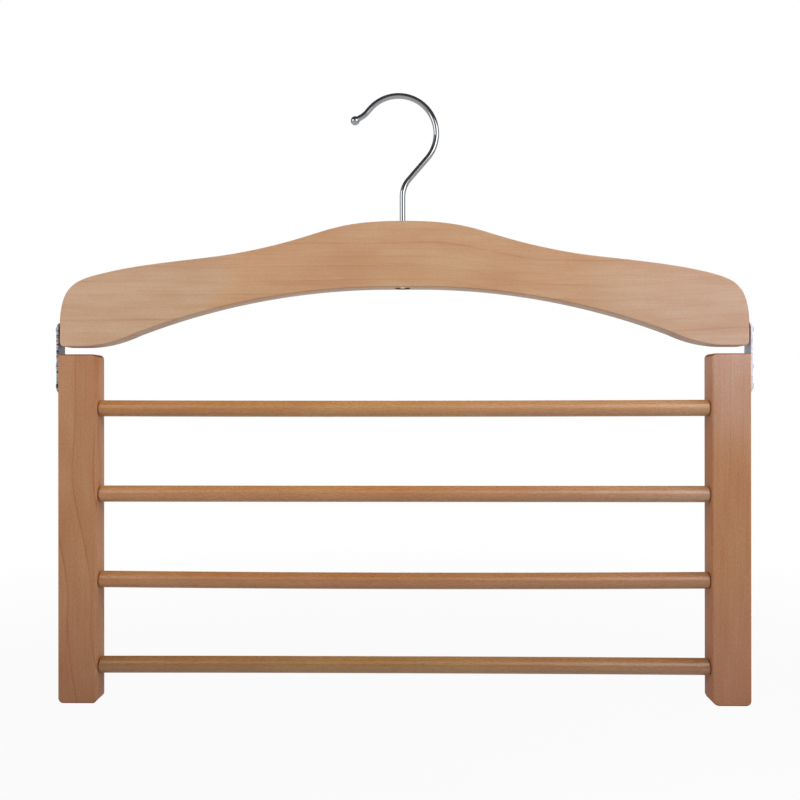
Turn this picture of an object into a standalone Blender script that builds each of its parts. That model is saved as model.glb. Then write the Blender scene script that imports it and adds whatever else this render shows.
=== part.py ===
"""Wooden trouser hanger: an arched yoke on a swivelling wire hook, with a four-bar rack swinging under it.

Everything is in metres with +Z up. X runs along the yoke, with X = 0 on the hook's shank, and Y runs from
front to back, with Y = 0 in the middle of the wood. Z = 0 is where the rail carries the hook: the inner side
of the crook, straight above the shank.
"""

import math

import bmesh
import bpy
from mathutils import Matrix

# Clearances
SEAT_GAP = 0.0003  # between faces that rest on each other, and round glued or screwed joints
HOOK_BORE_CLEARANCE = 0.0003  # all round the hook's shank, which turns in the yoke
PIVOT_CLEARANCE = 0.0003  # all round the pivot screws, on which the straps turn

# Yoke: the arched bar of wood at the top
YOKE_LENGTH = 0.440
YOKE_DEPTH = 0.014
YOKE_MIDDLE_HEIGHT = 0.0422
YOKE_EDGE_ROUND = 0.0007
CROWN_REACH = 0.105  # from the middle to where the raised crown runs out
CROWN_FALL = 0.0201  # how far the top edge has fallen there
CROWN_SLOPE = 0.183
SHOULDER_LENGTH = 0.033  # from the end back to where the shoulder starts to turn down
SHOULDER_FALL = 0.0116  # how far the top edge falls between the crown and the shoulder
SHOULDER_SLOPE = 0.221
ARCH_END_INSET = 0.048  # from the end back to where the arch under the yoke stops rising evenly
ARCH_END_RISE = 0.008  # how high the arch is there, over the foot
ARCH_END_SLOPE = 0.381
ARCH_HEIGHT = 0.0378  # from the feet to the underside in the middle
FOOT_LENGTH = 0.014  # the flat underside at each end
FOOT_CORNER_ROUND = 0.003
PIVOT_RISE = 0.011  # the pivot screws, over the foot

# Hook: one length of plated wire
WIRE_DIAMETER = 0.0036
CROOK_RADIUS = 0.0245  # to the middle of the wire
CROOK_OFFSET = 0.0026  # the crook's centre, left of the shank
HOOK_LEAN_DEG = 40.9  # of the straight run below the crook, from the vertical
HOOK_BEND_RADIUS = 0.017
HOOK_HEIGHT = 0.0803  # from the rail to the top of the yoke
CROOK_OVERRUN_DEG = 49.0  # how far the crook goes on past its top
TIP_RUN = 0.0030  # straight, after the crook
TIP_BEND_RADIUS = 0.014
TIP_BEND_DEG = 19.0  # turned back outwards
TIP_REACH = 0.0046  # from that bend to the middle of the ball
BALL_DIAMETER = 0.0057

# Washer and nut that hold the hook in the yoke
HOOK_WASHER_DIAMETER = 0.009
HOOK_WASHER_THICKNESS = 0.001
NUT_ACROSS_FLATS = 0.007
NUT_HEIGHT = 0.0032
WIRE_TAIL = 0.0003  # wire that stands out under the nut
TAIL_RECESS = 0.0003  # from the end of the wire to the underside of the yoke
COUNTERBORE_CLEARANCE = 0.0005  # all round the washer

# Rack: two uprights with four round bars between them
RACK_GAP = 0.0048  # between the yoke's feet and the uprights
UPRIGHT_WIDTH = 0.025
UPRIGHT_DEPTH = 0.014
UPRIGHT_EDGE_ROUND = 0.0015
TOP_OUTER_ROUND = 0.0018
TOP_INNER_ROUND = 0.0030
BOTTOM_OUTER_ROUND = 0.0035
RIGHT_BOTTOM_INNER_ROUND = 0.0050
LEFT_BOTTOM_CHAMFER = 0.0020
LEFT_CHAMFER_SOFTENING = 0.0022
TIGHTEST_CORNER = 0.0003  # what is left of a corner's radius inside the rounded edge
BAR_COUNT = 4
BAR_DIAMETER = 0.0105
BAR_PITCH = 0.0554
FIRST_BAR_DROP = 0.0348  # under the tops of the uprights
LAST_BAR_RISE = 0.0231  # over the bottoms of the uprights
BAR_END_CHAMFER = 0.0004
TENON_SHOULDER = 0.0015  # step from the bar down to the tenon on its end
TENON_LENGTH = 0.012

# Link straps between the yoke and the rack
STRAP_WIDTH = 0.0095
STRAP_THICKNESS = 0.0015
STRAP_EDGE_ROUND = 0.0002
SPACER_DIAMETER = 0.0082
SPACER_THICKNESS = 0.001
UPPER_FIXING_DROP = 0.008  # under the tops of the uprights
FIXING_PITCH = 0.0125

# Screws
SCREW_HEAD_DIAMETER = 0.006
SCREW_HEAD_HEIGHT = 0.0012
SCREW_POINT_LENGTH = 0.003
PIVOT_SCREW_DIAMETER = 0.004
PIVOT_SCREW_LENGTH = 0.022
FIXING_SCREW_DIAMETER = 0.0035
FIXING_SCREW_LENGTH = 0.014
RECESS_SPAN = 0.0034
RECESS_WIDTH = 0.0008
RECESS_DEPTH = 0.0007
RECESS_TURN_DEG = 37.0  # from one screw's cross recess to the next one's

# Heights and sides that follow from the sizes above
YOKE_HALF = YOKE_LENGTH / 2
YOKE_TOP = -HOOK_HEIGHT
YOKE_UNDERSIDE = YOKE_TOP - YOKE_MIDDLE_HEIGHT
YOKE_FOOT = YOKE_UNDERSIDE - ARCH_HEIGHT
PIVOT_Z = YOKE_FOOT + PIVOT_RISE
STRAP_INNER_X = YOKE_HALF + SPACER_THICKNESS + 2 * SEAT_GAP
STRAP_OUTER_X = STRAP_INNER_X + STRAP_THICKNESS
HEAD_SEAT_X = STRAP_OUTER_X + SEAT_GAP
UPRIGHT_OUTER_X = STRAP_INNER_X - SEAT_GAP
UPRIGHT_INNER_X = UPRIGHT_OUTER_X - UPRIGHT_WIDTH
UPRIGHT_TOP = YOKE_FOOT - RACK_GAP
FIRST_BAR_Z = UPRIGHT_TOP - FIRST_BAR_DROP
UPRIGHT_BOTTOM = FIRST_BAR_Z - (BAR_COUNT - 1) * BAR_PITCH - LAST_BAR_RISE
UPPER_FIXING_Z = UPRIGHT_TOP - UPPER_FIXING_DROP
LOWER_FIXING_Z = UPPER_FIXING_Z - FIXING_PITCH
WIRE_END = YOKE_UNDERSIDE + TAIL_RECESS
NUT_BOTTOM = WIRE_END + WIRE_TAIL
WASHER_BOTTOM = NUT_BOTTOM + NUT_HEIGHT + SEAT_GAP
COUNTERBORE_TOP = WASHER_BOTTOM + HOOK_WASHER_THICKNESS + SEAT_GAP
TENON_DIAMETER = BAR_DIAMETER - 2 * TENON_SHOULDER

SIDES = {"left": -1, "right": 1}
ROUND_STEPS = 32
WIRE_STEPS = 16
CUTTER_OVERRUN = 0.002  # how far a cutter stands out of the face that it cuts
BEVEL_FROM_DEG = 60.0


# Outlines, as lists of (along, up) points

def bezier(start, start_handle, end_handle, end, steps):
    """Points of a cubic curve, without its first one."""
    points = []
    for i in range(1, steps + 1):
        t = i / steps
        weights = ((1 - t) ** 3, 3 * (1 - t) ** 2 * t, 3 * (1 - t) * t**2, t**3)
        corners = (start, start_handle, end_handle, end)
        points.append(tuple(sum(w * c[k] for w, c in zip(weights, corners)) for k in (0, 1)))
    return points


def arc(centre, radius, start_deg, end_deg, steps):
    """Points round a centre, with both ends."""
    angles = [math.radians(start_deg + (end_deg - start_deg) * i / steps) for i in range(steps + 1)]
    return [(centre[0] + radius * math.cos(a), centre[1] + radius * math.sin(a)) for a in angles]


def rounded_polygon(corners, steps=6):
    """The outline through (x, z, radius) corners, each one rounded by an arc that touches both its sides."""
    points = []
    for i, (x, z, radius) in enumerate(corners):
        before = corners[i - 1]
        after = corners[(i + 1) % len(corners)]
        to_before = math.atan2(before[1] - z, before[0] - x)
        to_after = math.atan2(after[1] - z, after[0] - x)
        opening = (to_after - to_before + math.pi) % (2 * math.pi) - math.pi
        half = opening / 2
        reach = radius / math.sin(abs(half))
        middle = to_before + half
        centre = (x + reach * math.cos(middle), z + reach * math.sin(middle))
        first = to_before - math.copysign(math.pi / 2, half)
        sweep = math.copysign(math.pi - abs(opening), -half)
        points += arc(centre, radius, math.degrees(first), math.degrees(first + sweep), steps)
    return points


def yoke_outline():
    """The yoke seen from the front. Its right half runs from the top over the shoulder and back under the arch."""
    crown_end = (CROWN_REACH, YOKE_TOP - CROWN_FALL)
    shoulder = (YOKE_HALF - SHOULDER_LENGTH, crown_end[1] - SHOULDER_FALL)
    end_top = (YOKE_HALF, PIVOT_Z)
    foot_start = (YOKE_HALF - FOOT_LENGTH, YOKE_FOOT)
    arch_end = (YOKE_HALF - ARCH_END_INSET, YOKE_FOOT + ARCH_END_RISE)

    def along(point, reach, slope):
        return (point[0] + reach, point[1] - reach * slope)

    flank = shoulder[0] - crown_end[0]
    half = [(0, YOKE_TOP)]
    half += bezier(
        half[0],
        (CROWN_REACH * 0.485, YOKE_TOP),
        along(crown_end, -CROWN_REACH * 0.548, CROWN_SLOPE),
        crown_end,
        16,
    )
    half += bezier(
        crown_end,
        along(crown_end, flank * 0.264, CROWN_SLOPE),
        along(shoulder, -flank * 0.322, SHOULDER_SLOPE),
        shoulder,
        6,
    )
    half += bezier(
        shoulder,
        along(shoulder, SHOULDER_LENGTH * 0.72, SHOULDER_SLOPE),
        (YOKE_HALF, PIVOT_Z + (shoulder[1] - PIVOT_Z) * 0.79),
        end_top,
        14,
    )
    corner = (YOKE_HALF - FOOT_CORNER_ROUND, YOKE_FOOT + FOOT_CORNER_ROUND)
    half += arc(corner, FOOT_CORNER_ROUND, 0, -90, 5)
    half.append(foot_start)
    run = foot_start[0] - arch_end[0]
    half += bezier(
        foot_start,
        (foot_start[0] - run * 0.53, YOKE_FOOT),
        along(arch_end, run * 0.06, ARCH_END_SLOPE),
        arch_end,
        8,
    )
    half += bezier(
        arch_end,
        along(arch_end, -arch_end[0] * 0.49, ARCH_END_SLOPE),
        (arch_end[0] * 0.10, YOKE_UNDERSIDE),
        (0, YOKE_UNDERSIDE),
        18,
    )
    return half + [(-x, z) for x, z in half[-2:0:-1]]


def corner_round(size):
    """A corner's radius, never tighter than the rounded edge that follows it."""
    return max(size, UPRIGHT_EDGE_ROUND + TIGHTEST_CORNER)


def upright_outline(side):
    """One upright seen from the front: its outer top corner first, then round by the inner side."""
    outer = side * UPRIGHT_OUTER_X
    inner = side * UPRIGHT_INNER_X
    corners = [
        (outer, UPRIGHT_TOP, corner_round(TOP_OUTER_ROUND)),
        (inner, UPRIGHT_TOP, corner_round(TOP_INNER_ROUND)),
    ]
    if side > 0:
        corners.append((inner, UPRIGHT_BOTTOM, corner_round(RIGHT_BOTTOM_INNER_ROUND)))
    else:
        softening = corner_round(LEFT_CHAMFER_SOFTENING)
        corners.append((inner, UPRIGHT_BOTTOM + LEFT_BOTTOM_CHAMFER, softening))
        corners.append((inner + side * LEFT_BOTTOM_CHAMFER, UPRIGHT_BOTTOM, softening))
    corners.append((outer, UPRIGHT_BOTTOM, corner_round(BOTTOM_OUTER_ROUND)))
    return rounded_polygon(corners)


def strap_outline():
    """A strap seen from the side, as (y, z): a straight strip with a half circle round each end hole."""
    half = STRAP_WIDTH / 2
    return arc((0, PIVOT_Z), half, 0, 180, 12) + arc((0, LOWER_FIXING_Z), half, 180, 360, 12)


def hook_path():
    """The middle of the wire as (x, z, heading) points, from its lower end to the bend before the ball.

    The heading is in degrees from straight up, positive towards +X.
    """
    inner = CROOK_RADIUS - WIRE_DIAMETER / 2
    centre = (-CROOK_OFFSET, -math.sqrt(inner**2 - CROOK_OFFSET**2))
    lean = math.radians(HOOK_LEAN_DEG)
    touch = (centre[0] + CROOK_RADIUS * math.cos(lean), centre[1] - CROOK_RADIUS * math.sin(lean))
    bend_corner = touch[1] - touch[0] / math.tan(lean)
    bend_start = bend_corner - HOOK_BEND_RADIUS * math.tan(lean / 2)
    points = [(0, WIRE_END, 0)]

    def turn(centre, radius, start_heading, turned, steps):
        """An arc that turns the heading, to the right where turned is positive."""
        side = math.copysign(1, turned)
        for i in range(steps + 1):
            heading = start_heading + turned * i / steps
            a = math.radians(heading)
            x = centre[0] - side * radius * math.cos(a)
            z = centre[1] + side * radius * math.sin(a)
            points.append((x, z, heading))

    turn((HOOK_BEND_RADIUS, bend_start), HOOK_BEND_RADIUS, 0, HOOK_LEAN_DEG, 6)
    turn(centre, CROOK_RADIUS, HOOK_LEAN_DEG, -(HOOK_LEAN_DEG + 90 + CROOK_OVERRUN_DEG), 30)
    x, z, heading = points[-1]
    a = math.radians(heading)
    tip = (x + TIP_RUN * math.sin(a), z + TIP_RUN * math.cos(a))
    tip_centre = (tip[0] + TIP_BEND_RADIUS * math.cos(a), tip[1] - TIP_BEND_RADIUS * math.sin(a))
    turn(tip_centre, TIP_BEND_RADIUS, heading, TIP_BEND_DEG, 4)
    return points


# Meshes

def finished_mesh(name, bm):
    """A mesh from a bmesh, with its doubles merged and its faces pointing out."""
    bmesh.ops.remove_doubles(bm, verts=bm.verts, dist=1e-7)
    bmesh.ops.recalc_face_normals(bm, faces=bm.faces)
    mesh = bpy.data.meshes.new(name)
    bm.to_mesh(mesh)
    bm.free()
    mesh.shade_smooth()
    mesh.set_sharp_from_angle(angle=math.radians(35))
    return mesh


def plate_mesh(name, outline, thickness, normal="Y"):
    """An outline carried through its thickness along Y, or along X for an outline in (y, z)."""
    bm = bmesh.new()
    half = thickness / 2
    if normal == "Y":
        verts = [bm.verts.new((u, -half, w)) for u, w in outline]
    else:
        verts = [bm.verts.new((-half, u, w)) for u, w in outline]
    face = bm.faces.new(verts)
    carried = bmesh.ops.extrude_face_region(bm, geom=[face])["geom"]
    step = (0, thickness, 0) if normal == "Y" else (thickness, 0, 0)
    bmesh.ops.translate(bm, verts=[v for v in carried if isinstance(v, bmesh.types.BMVert)], vec=step)
    return finished_mesh(name, bm)


def turned_mesh(name, profile, steps=ROUND_STEPS, closed=False):
    """A profile of (radius, height) points turned round Z. A closed profile makes a ring."""
    bm = bmesh.new()
    verts = [bm.verts.new((r, 0, z)) for r, z in profile]
    edges = [bm.edges.new(pair) for pair in zip(verts, verts[1:])]
    if closed:
        edges.append(bm.edges.new((verts[-1], verts[0])))
    bmesh.ops.spin(
        bm,
        geom=verts + edges,
        axis=(0, 0, 1),
        cent=(0, 0, 0),
        angle=2 * math.pi,
        steps=steps,
        use_merge=True,
    )
    return finished_mesh(name, bm)


def ring_profile(inner_diameter, outer_diameter, thickness):
    inner = inner_diameter / 2
    outer = outer_diameter / 2
    return [(inner, 0), (outer, 0), (outer, thickness), (inner, thickness)]


def hook_mesh():
    """The wire as rings of points round its path, closed by a cap below and by the ball at its tip."""
    radius = WIRE_DIAMETER / 2
    ball = BALL_DIAMETER / 2
    chamfer = radius * 0.2
    path = hook_path()
    start_x, start_z, start_heading = path[0]
    rings = [
        (start_x, start_z, start_heading, radius - chamfer),
        (start_x, start_z + chamfer, start_heading, radius),
    ]
    rings += [(*point, radius) for point in path[1:]]
    x, z, heading = path[-1]
    a = math.radians(heading)
    neck = math.asin(min(1, radius / ball))
    for i in range(9):
        angle = neck + (math.pi - neck) * i / 9
        reach = TIP_REACH - ball * math.cos(angle)
        rings.append((x + reach * math.sin(a), z + reach * math.cos(a), heading, ball * math.sin(angle)))

    bm = bmesh.new()
    loops = []
    for x, z, heading, ring_radius in rings:
        a = math.radians(heading)
        loop = []
        for i in range(WIRE_STEPS):
            turn = 2 * math.pi * i / WIRE_STEPS
            across = ring_radius * math.cos(turn)
            loop.append(
                bm.verts.new((x + across * math.cos(a), ring_radius * math.sin(turn), z - across * math.sin(a)))
            )
        loops.append(loop)
    for low, high in zip(loops, loops[1:]):
        for i in range(WIRE_STEPS):
            j = (i + 1) % WIRE_STEPS
            bm.faces.new((low[i], low[j], high[j], high[i]))
    bm.faces.new(loops[0])
    x, z, heading = path[-1]
    a = math.radians(heading)
    reach = TIP_REACH + ball
    pole = bm.verts.new((x + reach * math.sin(a), 0, z + reach * math.cos(a)))
    for i in range(WIRE_STEPS):
        bm.faces.new((loops[-1][i], loops[-1][(i + 1) % WIRE_STEPS], pole))
    return finished_mesh("hook_wire", bm)


def screw_mesh(name, diameter, length):
    """A pan-head screw along +Z, with the seat of its head at Z = 0 and its point below."""
    head = SCREW_HEAD_DIAMETER / 2
    crown = SCREW_HEAD_HEIGHT * 0.55
    flat = head * 0.45
    profile = [(0, SCREW_HEAD_HEIGHT), (flat, SCREW_HEAD_HEIGHT)]
    for i in range(1, 6):
        a = math.radians(90 - 18 * i)
        profile.append((flat + (head - flat) * math.cos(a), SCREW_HEAD_HEIGHT - crown + crown * math.sin(a)))
    shank = diameter / 2
    profile += [(head, 0), (shank, 0), (shank, SCREW_POINT_LENGTH - length), (0, -length)]
    return turned_mesh(name, profile, 24)


def bar_mesh(name):
    """A bar along Z, turned down to a tenon at each end."""
    radius = BAR_DIAMETER / 2
    tenon = TENON_DIAMETER / 2
    shoulder = UPRIGHT_INNER_X - SEAT_GAP
    end = shoulder + TENON_LENGTH
    half = [
        (0, end),
        (tenon - BAR_END_CHAMFER, end),
        (tenon, end - BAR_END_CHAMFER),
        (tenon, shoulder),
        (radius - BAR_END_CHAMFER, shoulder),
        (radius, shoulder - BAR_END_CHAMFER),
    ]
    return turned_mesh(name, half + [(r, -z) for r, z in reversed(half)])


# Materials

def material(name, colour, roughness, metallic=0.0):
    """A plain Principled material. The colour is an sRGB hex value."""
    channels = [int(colour[i : i + 2], 16) / 255 for i in (0, 2, 4)]
    linear = [c / 12.92 if c <= 0.04045 else ((c + 0.055) / 1.055) ** 2.4 for c in channels]
    made = bpy.data.materials.new(name)
    made.use_nodes = True
    shader = made.node_tree.nodes["Principled BSDF"]
    shader.inputs["Base Color"].default_value = (*linear, 1)
    shader.inputs["Roughness"].default_value = roughness
    shader.inputs["Metallic"].default_value = metallic
    return made


# Objects

def group_axis(name, location, parent=None):
    """An empty on a joint's axis, which the pieces of one moving group hang on."""
    empty = bpy.data.objects.new(name, None)
    bpy.context.scene.collection.objects.link(empty)
    empty.parent = parent
    empty.location = [a - b for a, b in zip(location, parent.location)] if parent else location
    return empty


def place(name, mesh, parent, finish=None, location=(0, 0, 0), rotation=None):
    """An object whose mesh is put where it belongs in the world, and which hangs on a group's axis."""
    obj = bpy.data.objects.new(name, mesh)
    bpy.context.scene.collection.objects.link(obj)
    obj.parent = parent
    origin = Matrix.Translation(location)
    bpy.context.view_layer.update()
    obj.matrix_world = origin @ rotation.to_4x4() if rotation else origin
    if finish and not mesh.materials:
        mesh.materials.append(finish)
    return obj


def round_edges(obj, width, segments=3):
    """Rounds the rims of a plate. The small angles along a curved outline are left alone."""
    bevel = obj.modifiers.new("rounded edges", "BEVEL")
    bevel.width = width
    bevel.segments = segments
    bevel.limit_method = "ANGLE"
    bevel.angle_limit = math.radians(BEVEL_FROM_DEG)


def cut(obj, name, mesh, location=(0, 0, 0), rotation=None):
    """Takes a hidden cutter out of an object."""
    cutter = place(name, mesh, obj.parent, None, location, rotation)
    cutter.hide_render = True
    cutter.display_type = "WIRE"
    boolean = obj.modifiers.new(name, "BOOLEAN")
    boolean.operation = "DIFFERENCE"
    boolean.solver = "EXACT"
    boolean.object = cutter


def drill(name, diameter, low, high):
    """A cutter's mesh: a cylinder round Z between two heights."""
    radius = diameter / 2
    return turned_mesh(name, [(0, high), (radius, high), (radius, low), (0, low)])


def along_x(side):
    """Turns +Z to point out along X on one side."""
    return Matrix.Rotation(side * math.pi / 2, 3, "Y")


def make_hook(axis, plated, zinc):
    place("hook_wire", hook_mesh(), axis, plated)
    bore = WIRE_DIAMETER + 2 * SEAT_GAP
    washer = turned_mesh(
        "hook_washer", ring_profile(bore, HOOK_WASHER_DIAMETER, HOOK_WASHER_THICKNESS), closed=True
    )
    place("hook_washer", washer, axis, zinc, (0, 0, WASHER_BOTTOM))
    across_corners = NUT_ACROSS_FLATS / math.cos(math.pi / 6)
    nut = turned_mesh("hook_lock_nut", ring_profile(bore, across_corners, NUT_HEIGHT), 6, closed=True)
    nut_object = place("hook_lock_nut", nut, axis, zinc, (0, 0, NUT_BOTTOM))
    nut_object.data.shade_flat()


def make_yoke(axis, wood):
    yoke = place("yoke", plate_mesh("yoke", yoke_outline(), YOKE_DEPTH), axis, wood)
    round_edges(yoke, YOKE_EDGE_ROUND)
    bore = WIRE_DIAMETER + 2 * HOOK_BORE_CLEARANCE
    counterbore = HOOK_WASHER_DIAMETER + 2 * COUNTERBORE_CLEARANCE
    cut(
        yoke,
        "hook_bore_cutter",
        drill("hook_bore_cutter", bore, COUNTERBORE_TOP - CUTTER_OVERRUN, YOKE_TOP + CUTTER_OVERRUN),
    )
    cut(
        yoke,
        "counterbore_cutter",
        drill("counterbore_cutter", counterbore, YOKE_UNDERSIDE - CUTTER_OVERRUN, COUNTERBORE_TOP),
    )
    depth = HEAD_SEAT_X - PIVOT_SCREW_LENGTH - SEAT_GAP
    pilot = drill(
        "pivot_pilot_cutter", PIVOT_SCREW_DIAMETER + 2 * SEAT_GAP, depth, YOKE_HALF + CUTTER_OVERRUN
    )
    for side_name, side in SIDES.items():
        cut(yoke, f"{side_name}_pivot_pilot_cutter", pilot, (0, 0, PIVOT_Z), along_x(side))


def make_pivots(axis, zinc, recess):
    screw = screw_mesh("pivot_screw", PIVOT_SCREW_DIAMETER, PIVOT_SCREW_LENGTH)
    spacer = turned_mesh(
        "spacer_washer",
        ring_profile(PIVOT_SCREW_DIAMETER + 2 * SEAT_GAP, SPACER_DIAMETER, SPACER_THICKNESS),
        closed=True,
    )
    for i, (side_name, side) in enumerate(SIDES.items()):
        place(
            f"{side_name}_spacer_washer",
            spacer,
            axis,
            zinc,
            (side * (YOKE_HALF + SEAT_GAP), 0, PIVOT_Z),
            along_x(side),
        )
        make_screw(f"{side_name}_pivot_screw", screw, axis, zinc, side, PIVOT_Z, recess, i)


def make_screw(name, mesh, axis, zinc, side, height, recess, index):
    """A screw driven in from the outside, with its cross recess turned to its own angle."""
    turn = along_x(side) @ Matrix.Rotation(math.radians(RECESS_TURN_DEG * (index + 0.5)), 3, "Z")
    screw = place(name, mesh, axis, zinc, (side * HEAD_SEAT_X, 0, height), turn)
    cut(screw, f"{name}_recess_cutter", recess, (side * HEAD_SEAT_X, 0, height), turn)


def recess_mesh():
    """A cross of two crossed bars, as one outline cut down into the top of a screw's head."""
    far = RECESS_SPAN / 2
    near = RECESS_WIDTH / 2
    outline = []
    for quarter in range(4):
        c, s = ((1, 0), (0, 1), (-1, 0), (0, -1))[quarter]
        for u, v in ((far, -near), (far, near), (near, near)):
            outline.append((u * c - v * s, u * s + v * c))
    bm = bmesh.new()
    face = bm.faces.new([bm.verts.new((u, v, SCREW_HEAD_HEIGHT - RECESS_DEPTH)) for u, v in outline])
    raised = bmesh.ops.extrude_face_region(bm, geom=[face])["geom"]
    bmesh.ops.translate(
        bm,
        verts=[v for v in raised if isinstance(v, bmesh.types.BMVert)],
        vec=(0, 0, RECESS_DEPTH + CUTTER_OVERRUN),
    )
    return finished_mesh("recess_cutter", bm)


def make_uprights(axis, wood):
    socket = drill(
        "socket_cutter",
        TENON_DIAMETER + 2 * SEAT_GAP,
        UPRIGHT_INNER_X - CUTTER_OVERRUN,
        UPRIGHT_INNER_X + TENON_LENGTH,
    )
    pilot = drill(
        "fixing_pilot_cutter",
        FIXING_SCREW_DIAMETER + 2 * SEAT_GAP,
        HEAD_SEAT_X - FIXING_SCREW_LENGTH - SEAT_GAP,
        UPRIGHT_OUTER_X + CUTTER_OVERRUN,
    )
    for side_name, side in SIDES.items():
        name = f"{side_name}_upright"
        upright = place(name, plate_mesh(name, upright_outline(side), UPRIGHT_DEPTH), axis, wood)
        round_edges(upright, UPRIGHT_EDGE_ROUND)
        for i in range(BAR_COUNT):
            height = FIRST_BAR_Z - i * BAR_PITCH
            cut(upright, f"{side_name}_socket_{i + 1}_cutter", socket, (0, 0, height), along_x(side))
        for level, height in (("upper", UPPER_FIXING_Z), ("lower", LOWER_FIXING_Z)):
            cut(upright, f"{side_name}_{level}_pilot_cutter", pilot, (0, 0, height), along_x(side))


def make_bars(axis, wood):
    bar = bar_mesh("rack_bar")
    for i in range(BAR_COUNT):
        place(f"rack_bar_{i + 1}", bar, axis, wood, (0, 0, FIRST_BAR_Z - i * BAR_PITCH), along_x(1))


def make_straps(axis, zinc, recess):
    middle = (STRAP_INNER_X + STRAP_OUTER_X) / 2
    low = STRAP_INNER_X - CUTTER_OVERRUN
    high = STRAP_OUTER_X + CUTTER_OVERRUN
    pivot_hole = drill("pivot_hole_cutter", PIVOT_SCREW_DIAMETER + 2 * PIVOT_CLEARANCE, low, high)
    fixing_hole = drill("fixing_hole_cutter", FIXING_SCREW_DIAMETER + 2 * SEAT_GAP, low, high)
    screw = screw_mesh("fixing_screw", FIXING_SCREW_DIAMETER, FIXING_SCREW_LENGTH)
    index = len(SIDES)
    for side_name, side in SIDES.items():
        name = f"{side_name}_link_strap"
        mesh = plate_mesh(name, strap_outline(), STRAP_THICKNESS, "X")
        mesh.transform(Matrix.Translation((side * middle, 0, 0)))
        strap = place(name, mesh, axis, zinc)
        round_edges(strap, STRAP_EDGE_ROUND, 2)
        cut(strap, f"{side_name}_pivot_hole_cutter", pivot_hole, (0, 0, PIVOT_Z), along_x(side))
        for level, height in (("upper", UPPER_FIXING_Z), ("lower", LOWER_FIXING_Z)):
            cut(strap, f"{side_name}_{level}_hole_cutter", fixing_hole, (0, 0, height), along_x(side))
            make_screw(
                f"{side_name}_{level}_fixing_screw", screw, axis, zinc, side, height, recess, index
            )
            index += 1


def main():
    for obj in list(bpy.data.objects):
        bpy.data.objects.remove(obj, do_unlink=True)
    chrome = material("polished chrome plate", "D8DADC", 0.08, 1.0)
    zinc = material("bright zinc plate", "B4B8BD", 0.25, 1.0)
    pale_beech = material("lacquered beech, pale", "C39875", 0.45)
    beech = material("lacquered beech", "AA7C5E", 0.45)
    bar_beech = material("turned beech", "AC7B56", 0.40)
    hook_axis = group_axis("hook_axis", (0, 0, YOKE_TOP))
    yoke_axis = group_axis("yoke_axis", (0, 0, YOKE_TOP))
    rack_axis = group_axis("rack_axis", (0, 0, PIVOT_Z), yoke_axis)
    recess = recess_mesh()
    make_hook(hook_axis, chrome, zinc)
    make_yoke(yoke_axis, pale_beech)
    make_pivots(yoke_axis, zinc, recess)
    make_uprights(rack_axis, beech)
    make_bars(rack_axis, bar_beech)
    make_straps(rack_axis, zinc, recess)


main()
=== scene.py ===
"""A wooden trouser hanger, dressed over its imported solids.

The hook, the yoke, the rack and the two link straps are each a class that builds its own surfaces and gives
them their finish. Sizes are in metres in the frame of the solids: X runs along the yoke, Y from front to back
and Z up, with Z = 0 where the rail carries the hook.
"""

import logging
import math
from dataclasses import dataclass
from enum import Enum

import bmesh
import bpy
import numpy as np
from mathutils import Matrix, Vector


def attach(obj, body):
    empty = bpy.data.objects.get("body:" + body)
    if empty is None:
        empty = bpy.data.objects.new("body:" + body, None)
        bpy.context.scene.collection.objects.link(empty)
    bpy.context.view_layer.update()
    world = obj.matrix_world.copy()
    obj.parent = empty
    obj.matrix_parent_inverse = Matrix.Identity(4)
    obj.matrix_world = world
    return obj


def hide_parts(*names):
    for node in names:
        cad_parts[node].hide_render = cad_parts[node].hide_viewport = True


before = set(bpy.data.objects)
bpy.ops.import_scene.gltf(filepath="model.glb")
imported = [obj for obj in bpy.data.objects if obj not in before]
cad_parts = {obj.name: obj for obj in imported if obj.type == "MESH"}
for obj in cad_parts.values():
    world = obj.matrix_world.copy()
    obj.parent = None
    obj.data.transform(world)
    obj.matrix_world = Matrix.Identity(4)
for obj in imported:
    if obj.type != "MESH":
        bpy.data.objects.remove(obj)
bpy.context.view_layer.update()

Tree, Socket, Material = bpy.types.NodeTree, bpy.types.NodeSocket, bpy.types.Material
Pair = tuple[float, float] | np.ndarray  # a point in a plane
Spot = tuple[float, float, float]  # a place or a direction in space

log = logging.getLogger("hanger")

SIDES = {"left": -1, "right": 1}
MM = 1000.0  # millimetres in a metre
WELD = 1e-7  # points closer than this are one
DRILL_SIDES = 40  # columns round a cutter
WIRE_SIDES = 48  # round the wire and a screw
ROUND_SIDES = 64  # round a bar, a washer and the floor
NUT_SIDES = 96
SMOOTH_BELOW_DEG = 34.0  # where faces meet more steeply, their edge stays sharp

SEAT_GAP = 0.0003  # between faces that rest on each other
SOFT_RIM = 0.0002  # greatest radius of a washer's rims
CUT_OVER = 0.002  # how far a cutter stands out of the face that it goes in by
PIVOT = -0.1493  # height of the pivot screws
FIXINGS = {"upper": -0.1731, "lower": -0.1856}  # heights of the screws that hold a strap to its upright
HEAD_SEAT = 0.2234  # how far from the middle the heads of the screws sit


# Curves and profiles, as arrays of points in a plane

def unit(vectors: np.ndarray) -> np.ndarray:
    """The vectors, each divided by its length."""
    return vectors / np.linalg.norm(vectors, axis=-1, keepdims=True)


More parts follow.
